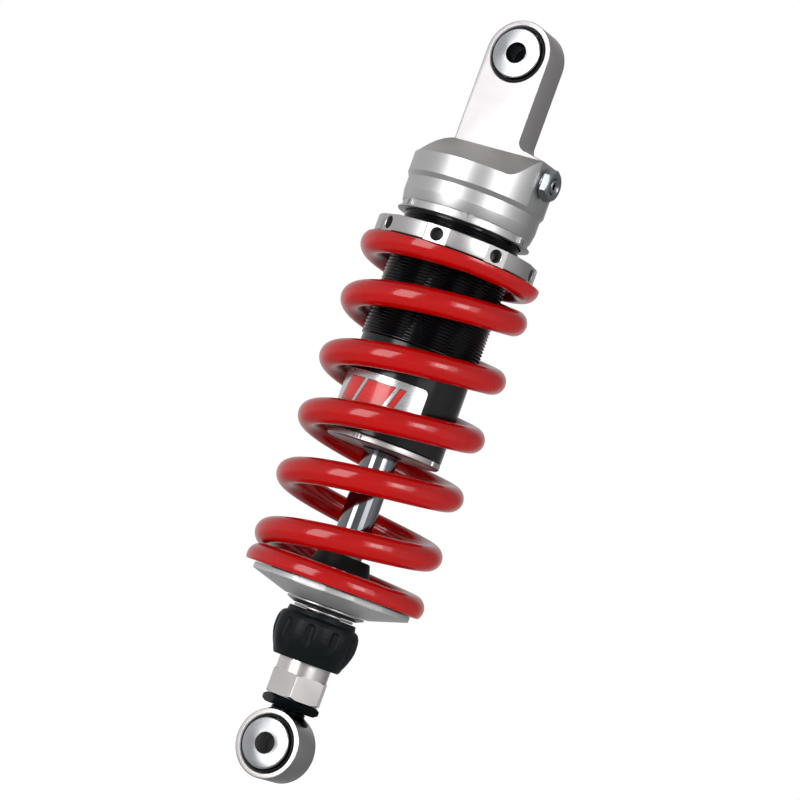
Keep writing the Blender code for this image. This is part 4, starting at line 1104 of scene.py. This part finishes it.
@dataclass
class DamperTube:
    """Black damper tube with its thread, label, end disc and wiper."""

    radius: float = 26.7
    thread_radius: float = 27.5
    wall: float = 3.7
    pitch: float = 1.5
    depth: float = 0.75
    thread_top: float = -84.0
    thread_foot: float = -141.2
    ring_radius: float = 0.9
    label_from: float = -78.0
    label_to: float = 51.0
    label_height: float = 18.0
    label_above: float = 9.3
    label_gap: float = 0.3
    label_thick: float = 0.3
    label_corner: float = 2.2
    notch: float = 2.2
    notch_depth: float = 2.2
    notches: int = 4

    def build(self, trees: Trees) -> None:
        """Make the tube and what is on it."""
        self.build_tube(trees)
        self.build_label()
        self.build_disc(trees)

    def build_tube(self, trees: Trees) -> None:
        """Tube with rows fine enough for the thread, which a tree cuts."""
        low, high = heights("damper_tube")
        bore = self.radius - self.wall
        groove = self.ring_radius + GAP
        ring = low + groove + 0.6
        rows = round((self.thread_top - self.thread_foot) / (self.pitch / 8))
        step = (self.thread_top - self.thread_foot) / rows
        outline: list[Point] = [(bore, high), (self.thread_radius, high)]
        outline += [(self.thread_radius, self.thread_top - step * i) for i in range(rows + 1)]
        outline += rounded([(0, 0, 0), (self.thread_radius, self.thread_foot - 0.3, 0.2),
                            (self.radius, self.thread_foot - 1.1, 0.4), (self.radius, low, 0.4),
                            (bore, low, 0.3), (bore, ring - groove, 0)])[1:]
        outline += [(bore + groove, ring - groove), (bore + groove, ring + groove),
                    (bore, ring + groove)]
        tube = turned("damper_tube_fine", outline, steps=144)
        run_tree(tree=trees.thread, obj=tube, Pitch=self.pitch * MM, Depth=self.depth * MM,
                 Top=self.thread_top * MM, Foot=self.thread_foot * MM,
                 Least_Radius=(self.radius - 0.5) * MM)
        settle(dress(tube, BLACK_ANODISED), "damper_body", "black_anodised", "damper_tube")

    def build_label(self) -> None:
        """Thin film wrapped round the tube, with round corners."""
        low = heights("damper_tube")[0]
        foot = low + self.label_above
        radius = self.radius + self.label_gap
        arc = math.radians(self.label_to - self.label_from) * radius
        ends = [self.label_corner * (1 - math.cos(math.pi / 2 * i / 8)) for i in range(9)]
        inner = [self.label_corner + (arc - 2 * self.label_corner) * i / 60 for i in range(1, 60)]
        columns = ends + inner + [arc - s for s in reversed(ends)]
        shape = bmesh.new()
        loops = []
        for s in columns:
            into = max(0.0, self.label_corner - min(s, arc - s))
            cut = self.label_corner - math.sqrt(max(0.0, self.label_corner ** 2 - into ** 2))
            cut = min(cut, self.label_corner - 0.02)
            angle = compass(self.label_from) + s / radius
            rows = [foot + cut + (self.label_height - 2 * cut) * k / 3 for k in range(4)]
            loops.append([[shape.verts.new(Vector((r * math.cos(angle), r * math.sin(angle), z))
                                           * MM) for z in rows]
                          for r in (radius, radius + self.label_thick)])
        for (inner_a, outer_a), (inner_b, outer_b) in zip(loops, loops[1:]):
            for k in range(3):
                shape.faces.new((outer_a[k], outer_b[k], outer_b[k + 1], outer_a[k + 1]))
                shape.faces.new((inner_a[k], inner_a[k + 1], inner_b[k + 1], inner_b[k]))
            shape.faces.new((inner_a[0], inner_b[0], outer_b[0], outer_a[0]))
            shape.faces.new((inner_a[3], outer_a[3], outer_b[3], inner_b[3]))
        for inner_side, outer_side in (loops[0], loops[-1]):
            for k in range(3):
                shape.faces.new((inner_side[k], outer_side[k], outer_side[k + 1],
                                 inner_side[k + 1]))
        label = as_object("body_label_fine", shape)
        dress(label, PrintedFilm(foot=foot, height=self.label_height))
        settle(label, "damper_body", "silver_label", "body_label")

    def build_disc(self, trees: Trees) -> None:
        """End disc with its notches, and the rod's wiper under it."""
        low, high = heights("tube_end_disc")
        inner = 9.6
        disc = turned("tube_end_disc_fine", rounded([
            (inner, high, 0.2), (self.radius, high, 0.3), (self.radius, low + 0.7, 0.3),
            (self.radius - 0.8, low, 0.5), (self.radius - 5, low + 0.1, 0.5),
            (13.5, low + 0.9, 0.6), (12.0, low, 0.4), (inner, low, 0.2)]))
        deep = high - self.notch_depth
        notch = turned("notch", [(0, high + 1), (self.notch, high + 1), (self.notch, deep),
                                 (0, deep)], steps=48)
        notch.data.transform(Matrix.Translation((0, -self.radius * MM, 0)))
        disc = combined(disc, ("DIFFERENCE", trees.ring(notch, self.notches)))
        settle(dress(disc, TURNED_SATIN), "damper_body", "satin_aluminium", "tube_end_disc")
        foot, top = heights("rod_wiper")
        wiper = turned("rod_wiper_fine", rounded([(8.3, top, 0), (9.3, top, 0), (9.3, foot, 0.4),
                                                  (8.3, foot, 0.2)]))
        settle(dress(wiper, RUBBER), "damper_body", "black_rubber", "rod_wiper")


@dataclass
class MainSpring:
    """Coil spring with ground ends, painted red.

    Its wire follows the CAD coil's own rule. It is made as upper and lower coils,
    parted where the stroke and the preload share its slack.
    """

    wire: float = 12.0
    mean_radius: float = 36.0
    low_tip: float = -54.0
    top_tip: float = 165.0
    pitch: float = 28.0
    flat_low: float = 0.346
    flat_top: float = 0.336
    closed: float = 0.19
    ramp: float = 0.4
    lift_low: float = 2.35
    lift_top: float = 0.55
    play: float = 0.2
    stroke: float = 55.0
    preload: float = 12.0
    per_turn: int = 80
    sides: int = 40

    def __post_init__(self) -> None:
        """Read the spring's two ends from the frame, and count its turns."""
        self.foot, self.top = heights("main_spring")
        self.turns = 6 + (self.top_tip - self.low_tip) / 360

    def end_height(self, turns: float, lift: float, flat: float, pitch: float) -> float:
        """Height of the wire's centre above a ground end, some turns from its tip."""
        solid = self.wire + self.play
        climbed = max(turns - flat, 0.0)
        into = min(max(climbed - self.closed, 0.0), self.ramp)
        height = lift + solid * (min(climbed, self.closed) + into)
        height += (pitch - solid) * into * into / (2 * self.ramp)
        return height + pitch * max(climbed - self.closed - self.ramp, 0.0)

    def height(self, turn: float) -> float:
        """Height of the wire's centre at a turn, counted from the lower tip."""
        middle = self.turns / 2
        low = self.end_height(middle, self.lift_low, self.flat_low, self.pitch)
        top = self.end_height(middle, self.lift_top, self.flat_top, self.pitch)
        active = self.turns - self.flat_low - self.flat_top - 2 * self.closed - self.ramp
        pitch = self.pitch + (self.top - self.foot - low - top) / active
        if turn <= middle:
            return self.foot + self.end_height(turn, self.lift_low, self.flat_low, pitch)
        return self.top - self.end_height(self.turns - turn, self.lift_top, self.flat_top, pitch)

    def slack(self, turn: float) -> float:
        """Free height between the coils below a turn; none in the flat end coils."""
        solid = self.wire + self.play
        whole = self.height(self.turns) - self.height(0.0) - solid * self.turns
        return min(max(self.height(turn) - self.height(0.0) - solid * turn, 0.0), whole)

    def junction(self) -> float:
        """Turn that parts the slack as the stroke and the preload use it."""
        share = self.slack(self.turns) * self.stroke / (self.stroke + self.preload)
        low, high = 1.0, self.turns - 1
        for _ in range(40):
            middle = (low + high) / 2
            low, high = (middle, high) if self.slack(middle) < share else (low, middle)
        return low

    def coil(self, name: str, trees: Trees, first: float, last: float) -> Obj:
        """Wire between two turns, ground flat where it passes an end."""
        count = math.ceil((last - first) * self.per_turn)
        turns = [first + (last - first) * i / count for i in range(count + 1)]
        mesh = bpy.data.meshes.new(name)
        points = []
        for turn in turns:
            angle = compass(self.low_tip) + TAU * turn
            points.append(Vector((self.mean_radius * math.cos(angle),
                                  self.mean_radius * math.sin(angle), self.height(turn))) * MM)
        mesh.from_pydata(points, [(i, i + 1) for i in range(count)], [])
        obj = in_scene(name, mesh)
        run_tree(obj, trees.wire, Wire_Radius=self.wire / 2 * MM, Sides=self.sides,
                 Material=RED_PAINT.material())
        shape = bmesh.new()
        shape.from_mesh(obj.data)
        bmesh.ops.remove_doubles(shape, verts=shape.verts, dist=0.001 * MM)
        bmesh.ops.recalc_face_normals(shape, faces=shape.faces)
        shape.to_mesh(obj.data)
        shape.free()
        for vert in obj.data.vertices:
            vert.co.z = min(max(vert.co.z, self.foot * MM), self.top * MM)
        smooth(obj, 40)
        dress(obj, RED_PAINT)
        dress_faces(obj, ZINC_STEEL, lambda c, n: abs(n.z) > 0.99
                    and (c.z < self.foot + 0.01 or c.z > self.top - 0.01))
        return obj

    def turn_of(self, spot: Vector, first: float, last: float) -> float:
        """Turn whose wire a point in millimetres belongs to."""
        angle = math.atan2(spot.y, spot.x) - compass(self.low_tip)
        part = (angle / TAU) % 1.0
        choices = [min(max(part + k, first), last) for k in range(-1, math.ceil(self.turns) + 1)]
        return min(choices, key=lambda t: abs(self.height(t) - spot.z)
                   + 100 * abs((t - part + 0.5) % 1.0 - 0.5))

    def set_weights(self, obj: Obj, weight: Callable[[float], float],
                    first: float, last: float) -> None:
        """Work out each vertex's share of the end's movement, by its turn; the shares are not
        kept.
        """
        shares = [weight(self.turn_of(v.co / MM, first, last)) for v in obj.data.vertices]

    def build(self, trees: Trees) -> None:
        """Make the upper and the lower coils."""
        joint = self.junction()
        below, whole = self.slack(joint), self.slack(self.turns)
        lower = self.coil("main_spring_lower_coils", trees, 0.0, joint)
        upper = self.coil("main_spring_upper_coils", trees, joint, self.turns)
        ends = {"start": (0, 0, self.height(joint) * MM)}
        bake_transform(lower)
        self.set_weights(lower, lambda t: 1 - self.slack(t) / below, 0.0, joint)
        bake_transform(upper)
        self.set_weights(upper, lambda t: (self.slack(t) - below) / (whole - below),
                         joint, self.turns)
        for piece in (lower, upper):
            enter(piece, "red_powder_coat", "main_spring")


@dataclass
class PreloadNut:
    """Castellated preload nut, and the slip washer between it and the spring."""

    radius: float = 38.0
    height: float = 7.8
    land: float = 11.0
    land_depth: float = 1.0
    lands: int = 8
    land_at: float = 12.4
    hole: float = 2.9
    hole_depth: float = 7.0
    bore: float = 27.8
    pilot: float = 29.6
    pilot_height: float = 5.0

    def build(self, trees: Trees) -> None:
        """Make the nut, cut its lands and pin holes, and make the washer."""
        top = heights("preload_nut")[1]
        foot = top - self.height
        middle = (top + foot) / 2
        body = turned("preload_nut_fine", rounded([
            (self.bore, top, 0.4), (self.radius, top, 0.5), (self.radius, foot, 0.5),
            (self.pilot, foot, 0.2), (self.pilot, foot - self.pilot_height, 0.4),
            (self.bore, foot - self.pilot_height, 0.3)], steps=3), steps=192)
        land = block("land", (self.radius - self.land_depth + 5, 0, middle),
                     (10, self.land, self.height + 4), self.land_at)
        hole = turned("hole", rounded([
            (0, self.radius + 2, 0), (self.hole + 0.25, self.radius + 2, 0),
            (self.hole + 0.25, self.radius - self.land_depth, 0),
            (self.hole, self.radius - self.land_depth - 0.25, 0),
            (self.hole, self.radius - self.hole_depth, 0),
            (0, self.radius - self.hole_depth - 1.6, 0)]),
            Axis.VALVE, middle, steps=64)
        hole.data.transform(Matrix.Rotation(compass(self.land_at), 4, "Z"))
        nut = combined(body, ("DIFFERENCE", trees.ring(land, self.lands)),
                       ("DIFFERENCE", trees.ring(hole, self.lands)))
        softened(nut, 0.18)
        dress(nut, TURNED_BRIGHT)
        # Painted shade: the pin holes' walls are painted dark grey.
        dress_faces(nut, DRILLED_PAINTED_SHADE, lambda c, n: self.pilot + 0.5 < math.hypot(c.x, c.y)
                    < self.radius - self.land_depth - 0.3 and abs(c.z - middle) < self.hole + 0.05)
        settle(nut, "adjuster", "turned_aluminium", "preload_nut")

        low, high = heights("slip_washer")
        washer = turned("slip_washer_fine", rounded([
            (self.pilot + GAP, high, 0.15), (self.radius - 1, high, 0.15),
            (self.radius - 1, low, 0.15), (self.pilot + GAP, low, 0.15)]))
        settle(dress(washer, NYLON), "spring_push", "black_rubber", "slip_washer")


@dataclass
class SpringSeat:
    """Lower spring seat with its bump stop, collar and ring."""

    radius: float = 37.0
    rim: float = 2.65
    flats: int = 8
    flat_at: float = 12.0
    flat_depth: float = 0.8
    hub: float = 20.0
    bore: float = 8.3
    pilot: float = 29.6
    pilot_wall: float = 3.6
    pilot_height: float = 4.0
    web: float = 1.3
    stop_top: float = 12.2
    stop_foot: float = 17.5
    stop_keep: float = 0.6
    collar: float = 18.2
    ring: float = 13.9

    def build(self, trees: Trees) -> None:
        """Make the seat and what stands on it and carries it."""
        foot, pilot_top = heights("lower_spring_seat")
        plane = pilot_top - self.pilot_height - GAP
        inner = self.pilot - self.pilot_wall
        seat = turned("lower_spring_seat_fine", rounded([
            (self.pilot, pilot_top, 0.5), (self.pilot, plane, 0.4), (self.radius, plane, 0.35),
            (self.radius, plane - self.rim, 0.3), (self.hub, foot, 1.0), (self.bore, foot, 0.3),
            (self.bore, plane - self.web, 0.3), (inner, plane - self.web, 0.8),
            (inner, pilot_top, 0.5)]), steps=192)
        cutter = block("flat", (self.radius - self.flat_depth + 5, 0, plane - 1.0),
                       (10, 17.0, 6.0), self.flat_at)
        seat = combined(seat, ("DIFFERENCE", trees.ring(cutter, self.flats)))
        softened(seat, 0.12)
        # Painted light: the seat gets the paler copy of the satin aluminium, which brightens its
        # cone.
        dress(seat, SEAT_SATIN_PAINTED_LIGHT)
        settle(seat, "seat_unit", "satin_aluminium", "lower_spring_seat")

        low, high = heights("bump_stop")
        stop = turned("bump_stop_fine", rounded([
            (self.bore, high, 0.5), (self.stop_top, high, 0.8),
            (self.stop_foot - 1.2, low + 3.6, 1.0), (self.stop_foot, low + 2.0, 0.8),
            (self.stop_foot, low, 0.5), (self.bore, low, 0.3)]))
        dress(stop, RUBBER)
        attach(stop, "seat_unit")
        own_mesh(stop)
        enter(stop, "black_rubber", "bump_stop")

        low, high = heights("seat_collar")
        collar = turned("seat_collar_fine", rounded([
            (self.bore, high, 0.2), (self.collar, high, 0.25), (self.collar, high - 0.9, 0.25),
            (self.ring + 0.9, low, 0.3), (self.bore, low, 0.2)]))
        settle(dress(collar, TURNED_BRIGHT), "rod_unit", "turned_aluminium", "seat_collar")
        low, high = heights("seat_ring")
        ring = turned("seat_ring_fine", rounded([
            (self.bore, high, 0.1), (self.ring, high, 0.3), (self.ring, low, 0.3),
            (self.bore, low, 0.1)]))
        settle(dress(ring, TURNED_BRIGHT), "rod_unit", "turned_aluminium", "seat_ring")


@dataclass
class DamperRod:
    """Chromed rod with the tenon that carries the piston."""

    radius: float = 8.0
    tenon: float = 4.0
    bore: float = 2.5
    shoulder: float = -167.35
    pin: float = -277.05
    slot: Point = (3.6, 5.1)

    def build(self) -> None:
        """Make the rod and cut the cross pin's slot."""
        low, high = heights("damper_rod")
        rod = turned("damper_rod_fine", rounded([
            (self.bore, high, 0.2), (self.tenon, high, 0.5), (self.tenon, self.shoulder, 0.1),
            (self.radius, self.shoulder, 0.3), (self.radius, low, 0.4), (self.bore, low, 0.2)]))
        wide, tall = self.slot
        slot = block("slot", (0, 0, self.pin - 0.75), (48, wide, tall))
        rod = combined(rod, ("DIFFERENCE", slot))
        settle(dress(rod, HARD_CHROME), "rod_unit", "hard_chrome", "damper_rod")


@dataclass
class ReboundKnob:
    """Moulded knob that turns the rebound adjuster, with flutes for the fingers."""

    shoulder: float = 15.7
    widest: float = 19.5
    step: float = 2.9
    side: tuple[Point, ...] = ((2.9, 17.5), (3.6, 18.3), (5.1, 19.0), (7.0, 19.35), (9.2, 19.5),
                               (11.8, 19.4), (14.0, 18.95), (16.2, 18.25), (18.4, 17.4),
                               (20.3, 16.65), (21.7, 16.2), (22.8, 15.5))
    bore: float = 12.3
    groove: float = 16.0
    groove_height: float = 4.0
    pin_drop: float = 9.0
    flutes: int = 10
    flute_at: float = 20.0
    flute_radius: float = 2.6
    lobe: float = 0.28

    def build(self, trees: Trees) -> None:
        """Make the lobed body and cut the flutes with round ends."""
        low, high = heights("rebound_knob")
        side = [(radius - self.lobe, high - drop, 0.5) for drop, radius in self.side]
        middle = high - self.pin_drop
        half = self.groove_height / 2
        outline = rounded([(self.bore, high, 0.3), (self.shoulder, high, 0.6),
                           (self.shoulder + 0.4, high - self.step + 0.5, 0.4), *side,
                           (self.bore, low, 0.4), (self.bore, middle - half, 0),
                           (self.groove, middle - half, 0), (self.groove, middle + half, 0),
                           (self.bore, middle + half, 0)])

        def lobes(angle: float, height: float) -> float:
            edge = min(1.0, max(0.0, (high - self.step - height) / 3))
            wave = math.cos(self.flutes * (angle - compass(self.flute_at)))
            return -self.lobe * wave * edge

        knob = turned("rebound_knob_fine", outline, steps=240)
        for vert in knob.data.vertices:
            spot = vert.co / MM
            radius = math.hypot(spot.x, spot.y)
            if radius > self.shoulder + 0.9:
                grown = radius + lobes(math.atan2(spot.y, spot.x), spot.z)
                vert.co.x *= grown / radius
                vert.co.y *= grown / radius
        top, bottom = high - self.step - 4.2, low + 4.6
        count = 8
        capsule = [(0.0, top + self.flute_radius)]
        capsule += [(self.flute_radius * math.sin(math.pi / 2 * i / count),
                     top + self.flute_radius * math.cos(math.pi / 2 * i / count))
                    for i in range(1, count + 1)]
        capsule += [(self.flute_radius * math.cos(math.pi / 2 * i / count),
                     bottom - self.flute_radius * math.sin(math.pi / 2 * i / count))
                    for i in range(count)]
        capsule.append((0.0, bottom - self.flute_radius))
        flute = turned("flute", capsule, steps=32)
        flute.data.transform(Matrix.Translation(
            Vector((math.cos(compass(self.flute_at)), math.sin(compass(self.flute_at)), 0))
            * (self.widest + 0.9) * MM))
        knob = combined(knob, ("DIFFERENCE", trees.ring(flute, self.flutes)))
        softened(knob, 0.25)
        settle(dress(knob, NYLON), "knob_unit", "black_rubber", "rebound_knob")


@dataclass
class RodEnd:
    """Fitting at the rod's end, its lock nut and the lower eye."""

    fitting: float = 12.0
    across: float = 24.0
    lock_across: float = 23.2
    hex_top: float = -296.7
    hex_foot: float = -307.95
    corner: float = 23.5
    lock_corner: float = -8.0
    stem: float = 7.0
    rod: float = 8.0
    rod_foot: float = -283.05
    stem_top: float = -285.45
    needle: float = 2.5
    pin: float = -277.05
    neck: float = 7.9
    eye_radius: float = 16.0
    half: float = 8.5
    race_radius: float = 13.3

    def upright(self, bearing: float) -> Matrix:
        """Turn that puts a hexagon's corner at a bearing."""
        return Matrix.Rotation(compass(bearing), 4, "Z")

    def build(self, eye_height: float) -> None:
        """Make the three pieces."""
        self.build_fitting()
        self.build_lock_nut()
        self.build_eye(eye_height)

    def build_fitting(self) -> None:
        """Cylinder that runs up into the knob, with the hexagon below it."""
        high = heights("hex_fitting")[1]
        wide = self.across / math.sqrt(3)
        block_ = hexagon("hex_fitting_fine", self.across, self.hex_foot, self.hex_top,
                         self.upright(self.corner), 0.3)
        barrel = turned("barrel", [(0, self.hex_foot - 0.01), (wide - 1.4, self.hex_foot - 0.01),
                                   (wide + 0.1, self.hex_foot + 0.85),
                                   (wide + 0.1, self.hex_top - 0.85),
                                   (wide - 1.4, self.hex_top + 0.01), (0, self.hex_top + 0.01)])
        tube = turned("cylinder", rounded([(0, high, 0), (self.fitting, high, 0.4),
                                           (self.fitting, self.hex_top - 1, 0),
                                           (0, self.hex_top - 1, 0)]))
        hollow = turned("hollow", [(0, high + 2), (self.rod + GAP, high + 2),
                                   (self.rod + GAP, self.rod_foot - GAP),
                                   (self.needle, self.rod_foot - GAP),
                                   (self.needle, self.stem_top + GAP),
                                   (self.stem + GAP, self.stem_top + GAP),
                                   (self.stem + GAP, self.hex_foot - 2), (0, self.hex_foot - 2)])
        slot = block("slot", (0, 0, self.pin - 0.75), (48, 3.6, 5.1))
        fitting = combined(block_, ("INTERSECT", barrel), ("UNION", tube),
                           ("DIFFERENCE", hollow), ("DIFFERENCE", slot))
        softened(fitting, 0.12)
        settle(dress(fitting, MACHINED), "rod_unit", "satin_aluminium", "hex_fitting")

    def build_lock_nut(self) -> None:
        """Thin black nut with both faces chamfered."""
        low, high = heights("lock_nut")
        wide = self.lock_across / math.sqrt(3)
        nut = hexagon("lock_nut_fine", self.lock_across, low, high,
                      self.upright(self.lock_corner))
        barrel = turned("barrel", [(0, low - 0.01), (wide - 1.9, low - 0.01),
                                   (wide, low + 1.3), (wide, high - 1.3),
                                   (wide - 1.9, high + 0.01), (0, high + 0.01)])
        bore = turned("bore", [(0, high + 1), (self.stem + GAP, high + 1),
                               (self.stem + GAP, low - 1), (0, low - 1)])
        nut = combined(nut, ("INTERSECT", barrel), ("DIFFERENCE", bore))
        softened(nut, 0.12)
        settle(dress(nut, BLACK_OXIDE_AND_PAINTED_SHADE), "rod_unit", "black_anodised", "lock_nut")

    def build_eye(self, eye_height: float) -> None:
        """Eye ring on its neck, with the stem that screws into the fitting."""
        high = heights("lower_eye")[1]
        top = heights("lock_nut")[0] - GAP
        stem = turned("lower_eye_fine", rounded([
            (0, high, 0), (self.stem, high, 1.0), (self.stem, top, 0.2), (self.neck, top, 0.4),
            (self.neck, eye_height + 10, 0), (0, eye_height + 10, 0)]))
        flare = turned("flare", rounded([
            (0, top - 0.6, 0), (self.neck - 0.2, top - 0.6, 0), (self.neck, top - 1.4, 1.0),
            (self.neck + 4.2, eye_height + 12.6, 2.5), (0, eye_height + 6, 0)]))
        web = block("web", (0, 0, eye_height + 12), (40, 2 * self.neck, 20))
        stem = combined(stem, ("UNION", combined(flare, ("INTERSECT", web))))
        r, h = self.eye_radius, self.half
        ring = turned("ring", rounded([(0, h, 0), (r, h, 0.5), (r, -h, 0.5), (0, -h, 0)]),
                      Axis.BOLT, eye_height)
        reach = h + 0.4
        bore = eye_bore(self.race_radius, reach, eye_height)
        eye = combined(stem, ("UNION", ring), ("DIFFERENCE", bore))
        dress(eye, MACHINED)
        turned_ring = Metal("aluminium_eye_turned", "#CFCDCC", "#C4C2C1", (0.26, 0.36),
                            Marks.TURNED, 0.7, 0.012, Axis.BOLT, eye_height)
        dress_faces(eye, turned_ring, lambda c, n: abs(n.y) < 0.5 and math.hypot(
            c.x, c.z - eye_height) > r - 0.2)
        # Painted shade: the neck and its flare under the lock nut are painted black for their
        # shadow and their reflection of the nut.
        dress_faces(eye, BLACK_OXIDE_AND_PAINTED_SHADE, lambda c, n: eye_height + 4 < c.z < top + 0.1 and math.hypot(
            c.x, c.z - eye_height) > r + 0.05)
        settle(eye, "eye_unit", "satin_aluminium", "lower_eye")


HIDDEN = {
    TURNED_SATIN: ("seal_head", "floating_piston", "damper_piston"),
    BEARING_STEEL: ("upper_bearing_race", "lower_bearing_race", "seal_head_wire_ring",
                    "compression_shims", "rebound_shims", "shim_support_washer", "piston_nut",
                    "rebound_needle", "rebound_cross_pin"),
    HARD_CHROME: ("upper_bearing_ball", "lower_bearing_ball"),
    BRONZE: ("rod_bush", "piston_band"),
    RUBBER: ("rod_oil_seal", "seal_head_o_ring", "floating_piston_o_ring", "top_out_bumper"),
}


def dress_hidden(nodes: dict[str, Obj]) -> None:
    """Give the pieces inside the damper, which keep their CAD shape, their finishes.

    Args:
        nodes: the frame's nodes by name.
    """
    for finish, names in HIDDEN.items():
        for name in names:
            dress(nodes[name], finish)
            log.info("%s: kept from the frame", name)


# ---- studio --------------------------------------------------------------
# Name, bearing, lift, distance in metres, width and height in metres, and radiance.
PANELS = (
    ("panel_left", -11.8, 12.0, 1.3, (0.63, 1.3), 4.2),
    ("panel_right", 64.0, 18.0, 1.3, (0.8, 0.9), 1.8),
    ("panel_right_core", 60.0, 18.0, 1.25, (0.34, 0.55), 4.5),
)


@dataclass
class Studio:
    """Camera, lights, backdrop and floor."""

    bearing: float = 28.91
    distance: float = 1491.7
    height: float = -278.7
    tilt: float = 4.35
    roll: float = 20.0
    aside: float = 0.56
    lens: float = 149.3
    floor: float = -358.5
    middle: float = -165.0

    def build(self) -> None:
        """Set up everything that isn't the object."""
        self.build_camera()
        self.build_floor()
        self.build_world()
        for panel in PANELS:
            self.add_panel(*panel)
        scene = bpy.context.scene
        scene.view_settings.view_transform = "Standard"
        scene.view_settings.look = "None"

    def build_camera(self) -> None:
        """Camera low in front, tilted up and rolled, a little left of the axis."""
        data = bpy.data.cameras.new("camera")
        data.lens = self.lens
        data.sensor_width = 36.0
        data.clip_start = 0.05
        data.clip_end = 50.0
        camera = in_scene("camera", data)
        turn, tilt, roll = (math.radians(a) for a in (self.bearing, self.tilt, self.roll))
        right = Vector((math.cos(turn), math.sin(turn), 0))
        ahead = Vector((-math.sin(turn) * math.cos(tilt), math.cos(turn) * math.cos(tilt),
                        math.sin(tilt)))
        up = right.cross(ahead)
        side = right * math.cos(roll) + up * math.sin(roll)
        top = up * math.cos(roll) - right * math.sin(roll)
        place = Vector((self.distance * math.sin(turn), -self.distance * math.cos(turn),
                        self.height)) - right * self.aside
        basis = Matrix((side, top, -ahead)).transposed().to_4x4()
        camera.matrix_world = Matrix.Translation(place * MM) @ basis
        bpy.context.scene.camera = camera

    def build_floor(self) -> None:
        """Wide white floor, just under the lowest the lower eye reaches."""
        size = 6.0
        mesh = bpy.data.meshes.new("floor")
        z = self.floor * MM
        mesh.from_pydata([(-size, -size, z), (size, -size, z), (size, size, z), (-size, size, z)],
                         [], [(0, 1, 2, 3)])
        floor = in_scene("floor", mesh)
        made, _, shader = new_material("white_paper_sweep")
        shader.inputs["Base Color"].default_value = srgb("#F4F4F4")
        shader.inputs["Roughness"].default_value = 0.9
        shader.inputs["Emission Color"].default_value = srgb("#FFFFFF")
        shader.inputs["Emission Strength"].default_value = 0.7
        mesh.materials.append(made)
        floor.visible_glossy = False

    def build_world(self) -> None:
        """Pale walls: grey tones by bearing in reflections, white behind the object."""
        world = bpy.data.worlds.new("studio")
        bpy.context.scene.world = world
        world.use_nodes = True
        tree = world.node_tree
        tree.nodes.clear()
        direction = add_node(tree, "ShaderNodeTexCoord").outputs["Generated"]
        x, y, z = axes(tree, direction)
        bearing = number(tree, "ARCTAN2", x, number(tree, "MULTIPLY", y, -1.0))
        share = number(tree, "ADD", number(tree, "DIVIDE", bearing, TAU), 0.5)
        ramp = add_node(tree, "ShaderNodeValToRGB", {0: share})
        tones = [(-180, 0.4), (-135, 0.6), (-110, 0.6), (-45, 0.5), (-25, 0.34), (15, 0.28),
                 (40, 0.32), (78, 0.46), (105, 0.5), (140, 0.24), (165, 0.18), (180, 0.3)]
        stops = ramp.color_ramp.elements
        while len(stops) < len(tones):
            stops.new(0.5)
        for stop, (degrees, tone) in zip(stops, tones):
            stop.position = degrees / 360 + 0.5
            stop.color = (tone, tone, tone * 1.01, 1.0)
        roof = mix(tree, spread(tree, z, 0.45, 0.75, 0.0, 1.0), ramp.outputs[0],
                   (0.3, 0.3, 0.3, 1.0))
        ground = mix(tree, spread(tree, z, -0.15, -0.5, 0.0, 1.0), roof, (0.2, 0.2, 0.2, 1.0))
        walls = add_node(tree, "ShaderNodeBackground", {0: ground, 1: 1.0})
        white = add_node(tree, "ShaderNodeBackground", {0: (1.0, 1.0, 1.0, 1.0), 1: 1.0})
        seen = add_node(tree, "ShaderNodeLightPath").outputs["Is Camera Ray"]
        both = add_node(tree, "ShaderNodeMixShader", {0: seen, 1: walls.outputs[0],
                                                      2: white.outputs[0]})
        add_node(tree, "ShaderNodeOutputWorld", {0: both.outputs[0]})

    def add_panel(self, name: str, bearing: float, lift: float, distance: float,
                  size: Point, radiance: float) -> None:
        """Add a softbox.

        Args:
            name: its name.
            bearing: its bearing about the damper axis.
            lift: its angle above level, in degrees.
            distance: metres from the middle of the object.
            size: width and height in metres.
            radiance: how bright its face is.
        """
        data = bpy.data.lights.new(name, "AREA")
        data.shape = "RECTANGLE"
        data.size, data.size_y = size
        data.energy = radiance * math.pi * size[0] * size[1]
        light = in_scene(name, data)
        angle, rise = compass(bearing), math.radians(lift)
        out = Vector((math.cos(angle) * math.cos(rise), math.sin(angle) * math.cos(rise),
                      math.sin(rise)))
        light.location = out * distance + Vector((0, 0, self.middle * MM))
        light.rotation_mode = "QUATERNION"
        light.rotation_quaternion = (-out).to_track_quat("-Z", "Y")
        light.visible_camera = False


def build_all(frame: dict) -> None:
    """Build every class in order.
    """
    trees = Trees()
    Studio().build()
    cap = MountCap()
    cap.build(trees)
    GasValve(cap.valve).build()
    EyeBearing("upper", "damper_body", "upper_bush", 0.0, black_painted_bore_shade=True).build()
    DamperTube().build(trees)
    MainSpring().build(trees)
    PreloadNut().build(trees)
    SpringSeat().build(trees)
    DamperRod().build()
    ReboundKnob().build(trees)
    low, high = heights("lower_collar_front")
    lower = (low + high) / 2
    RodEnd().build(lower)
    EyeBearing("lower", "eye_unit", "lower_bush", lower, black_painted_bore_shade=False).build()
    dress_hidden(frame["nodes"])


def main() -> None:
    """Load the frame and build the looks."""
    logging.basicConfig(level=logging.INFO, format="%(name)s: %(message)s")
    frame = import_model()
    build_all(frame)


if __name__ == "__main__":
    main()
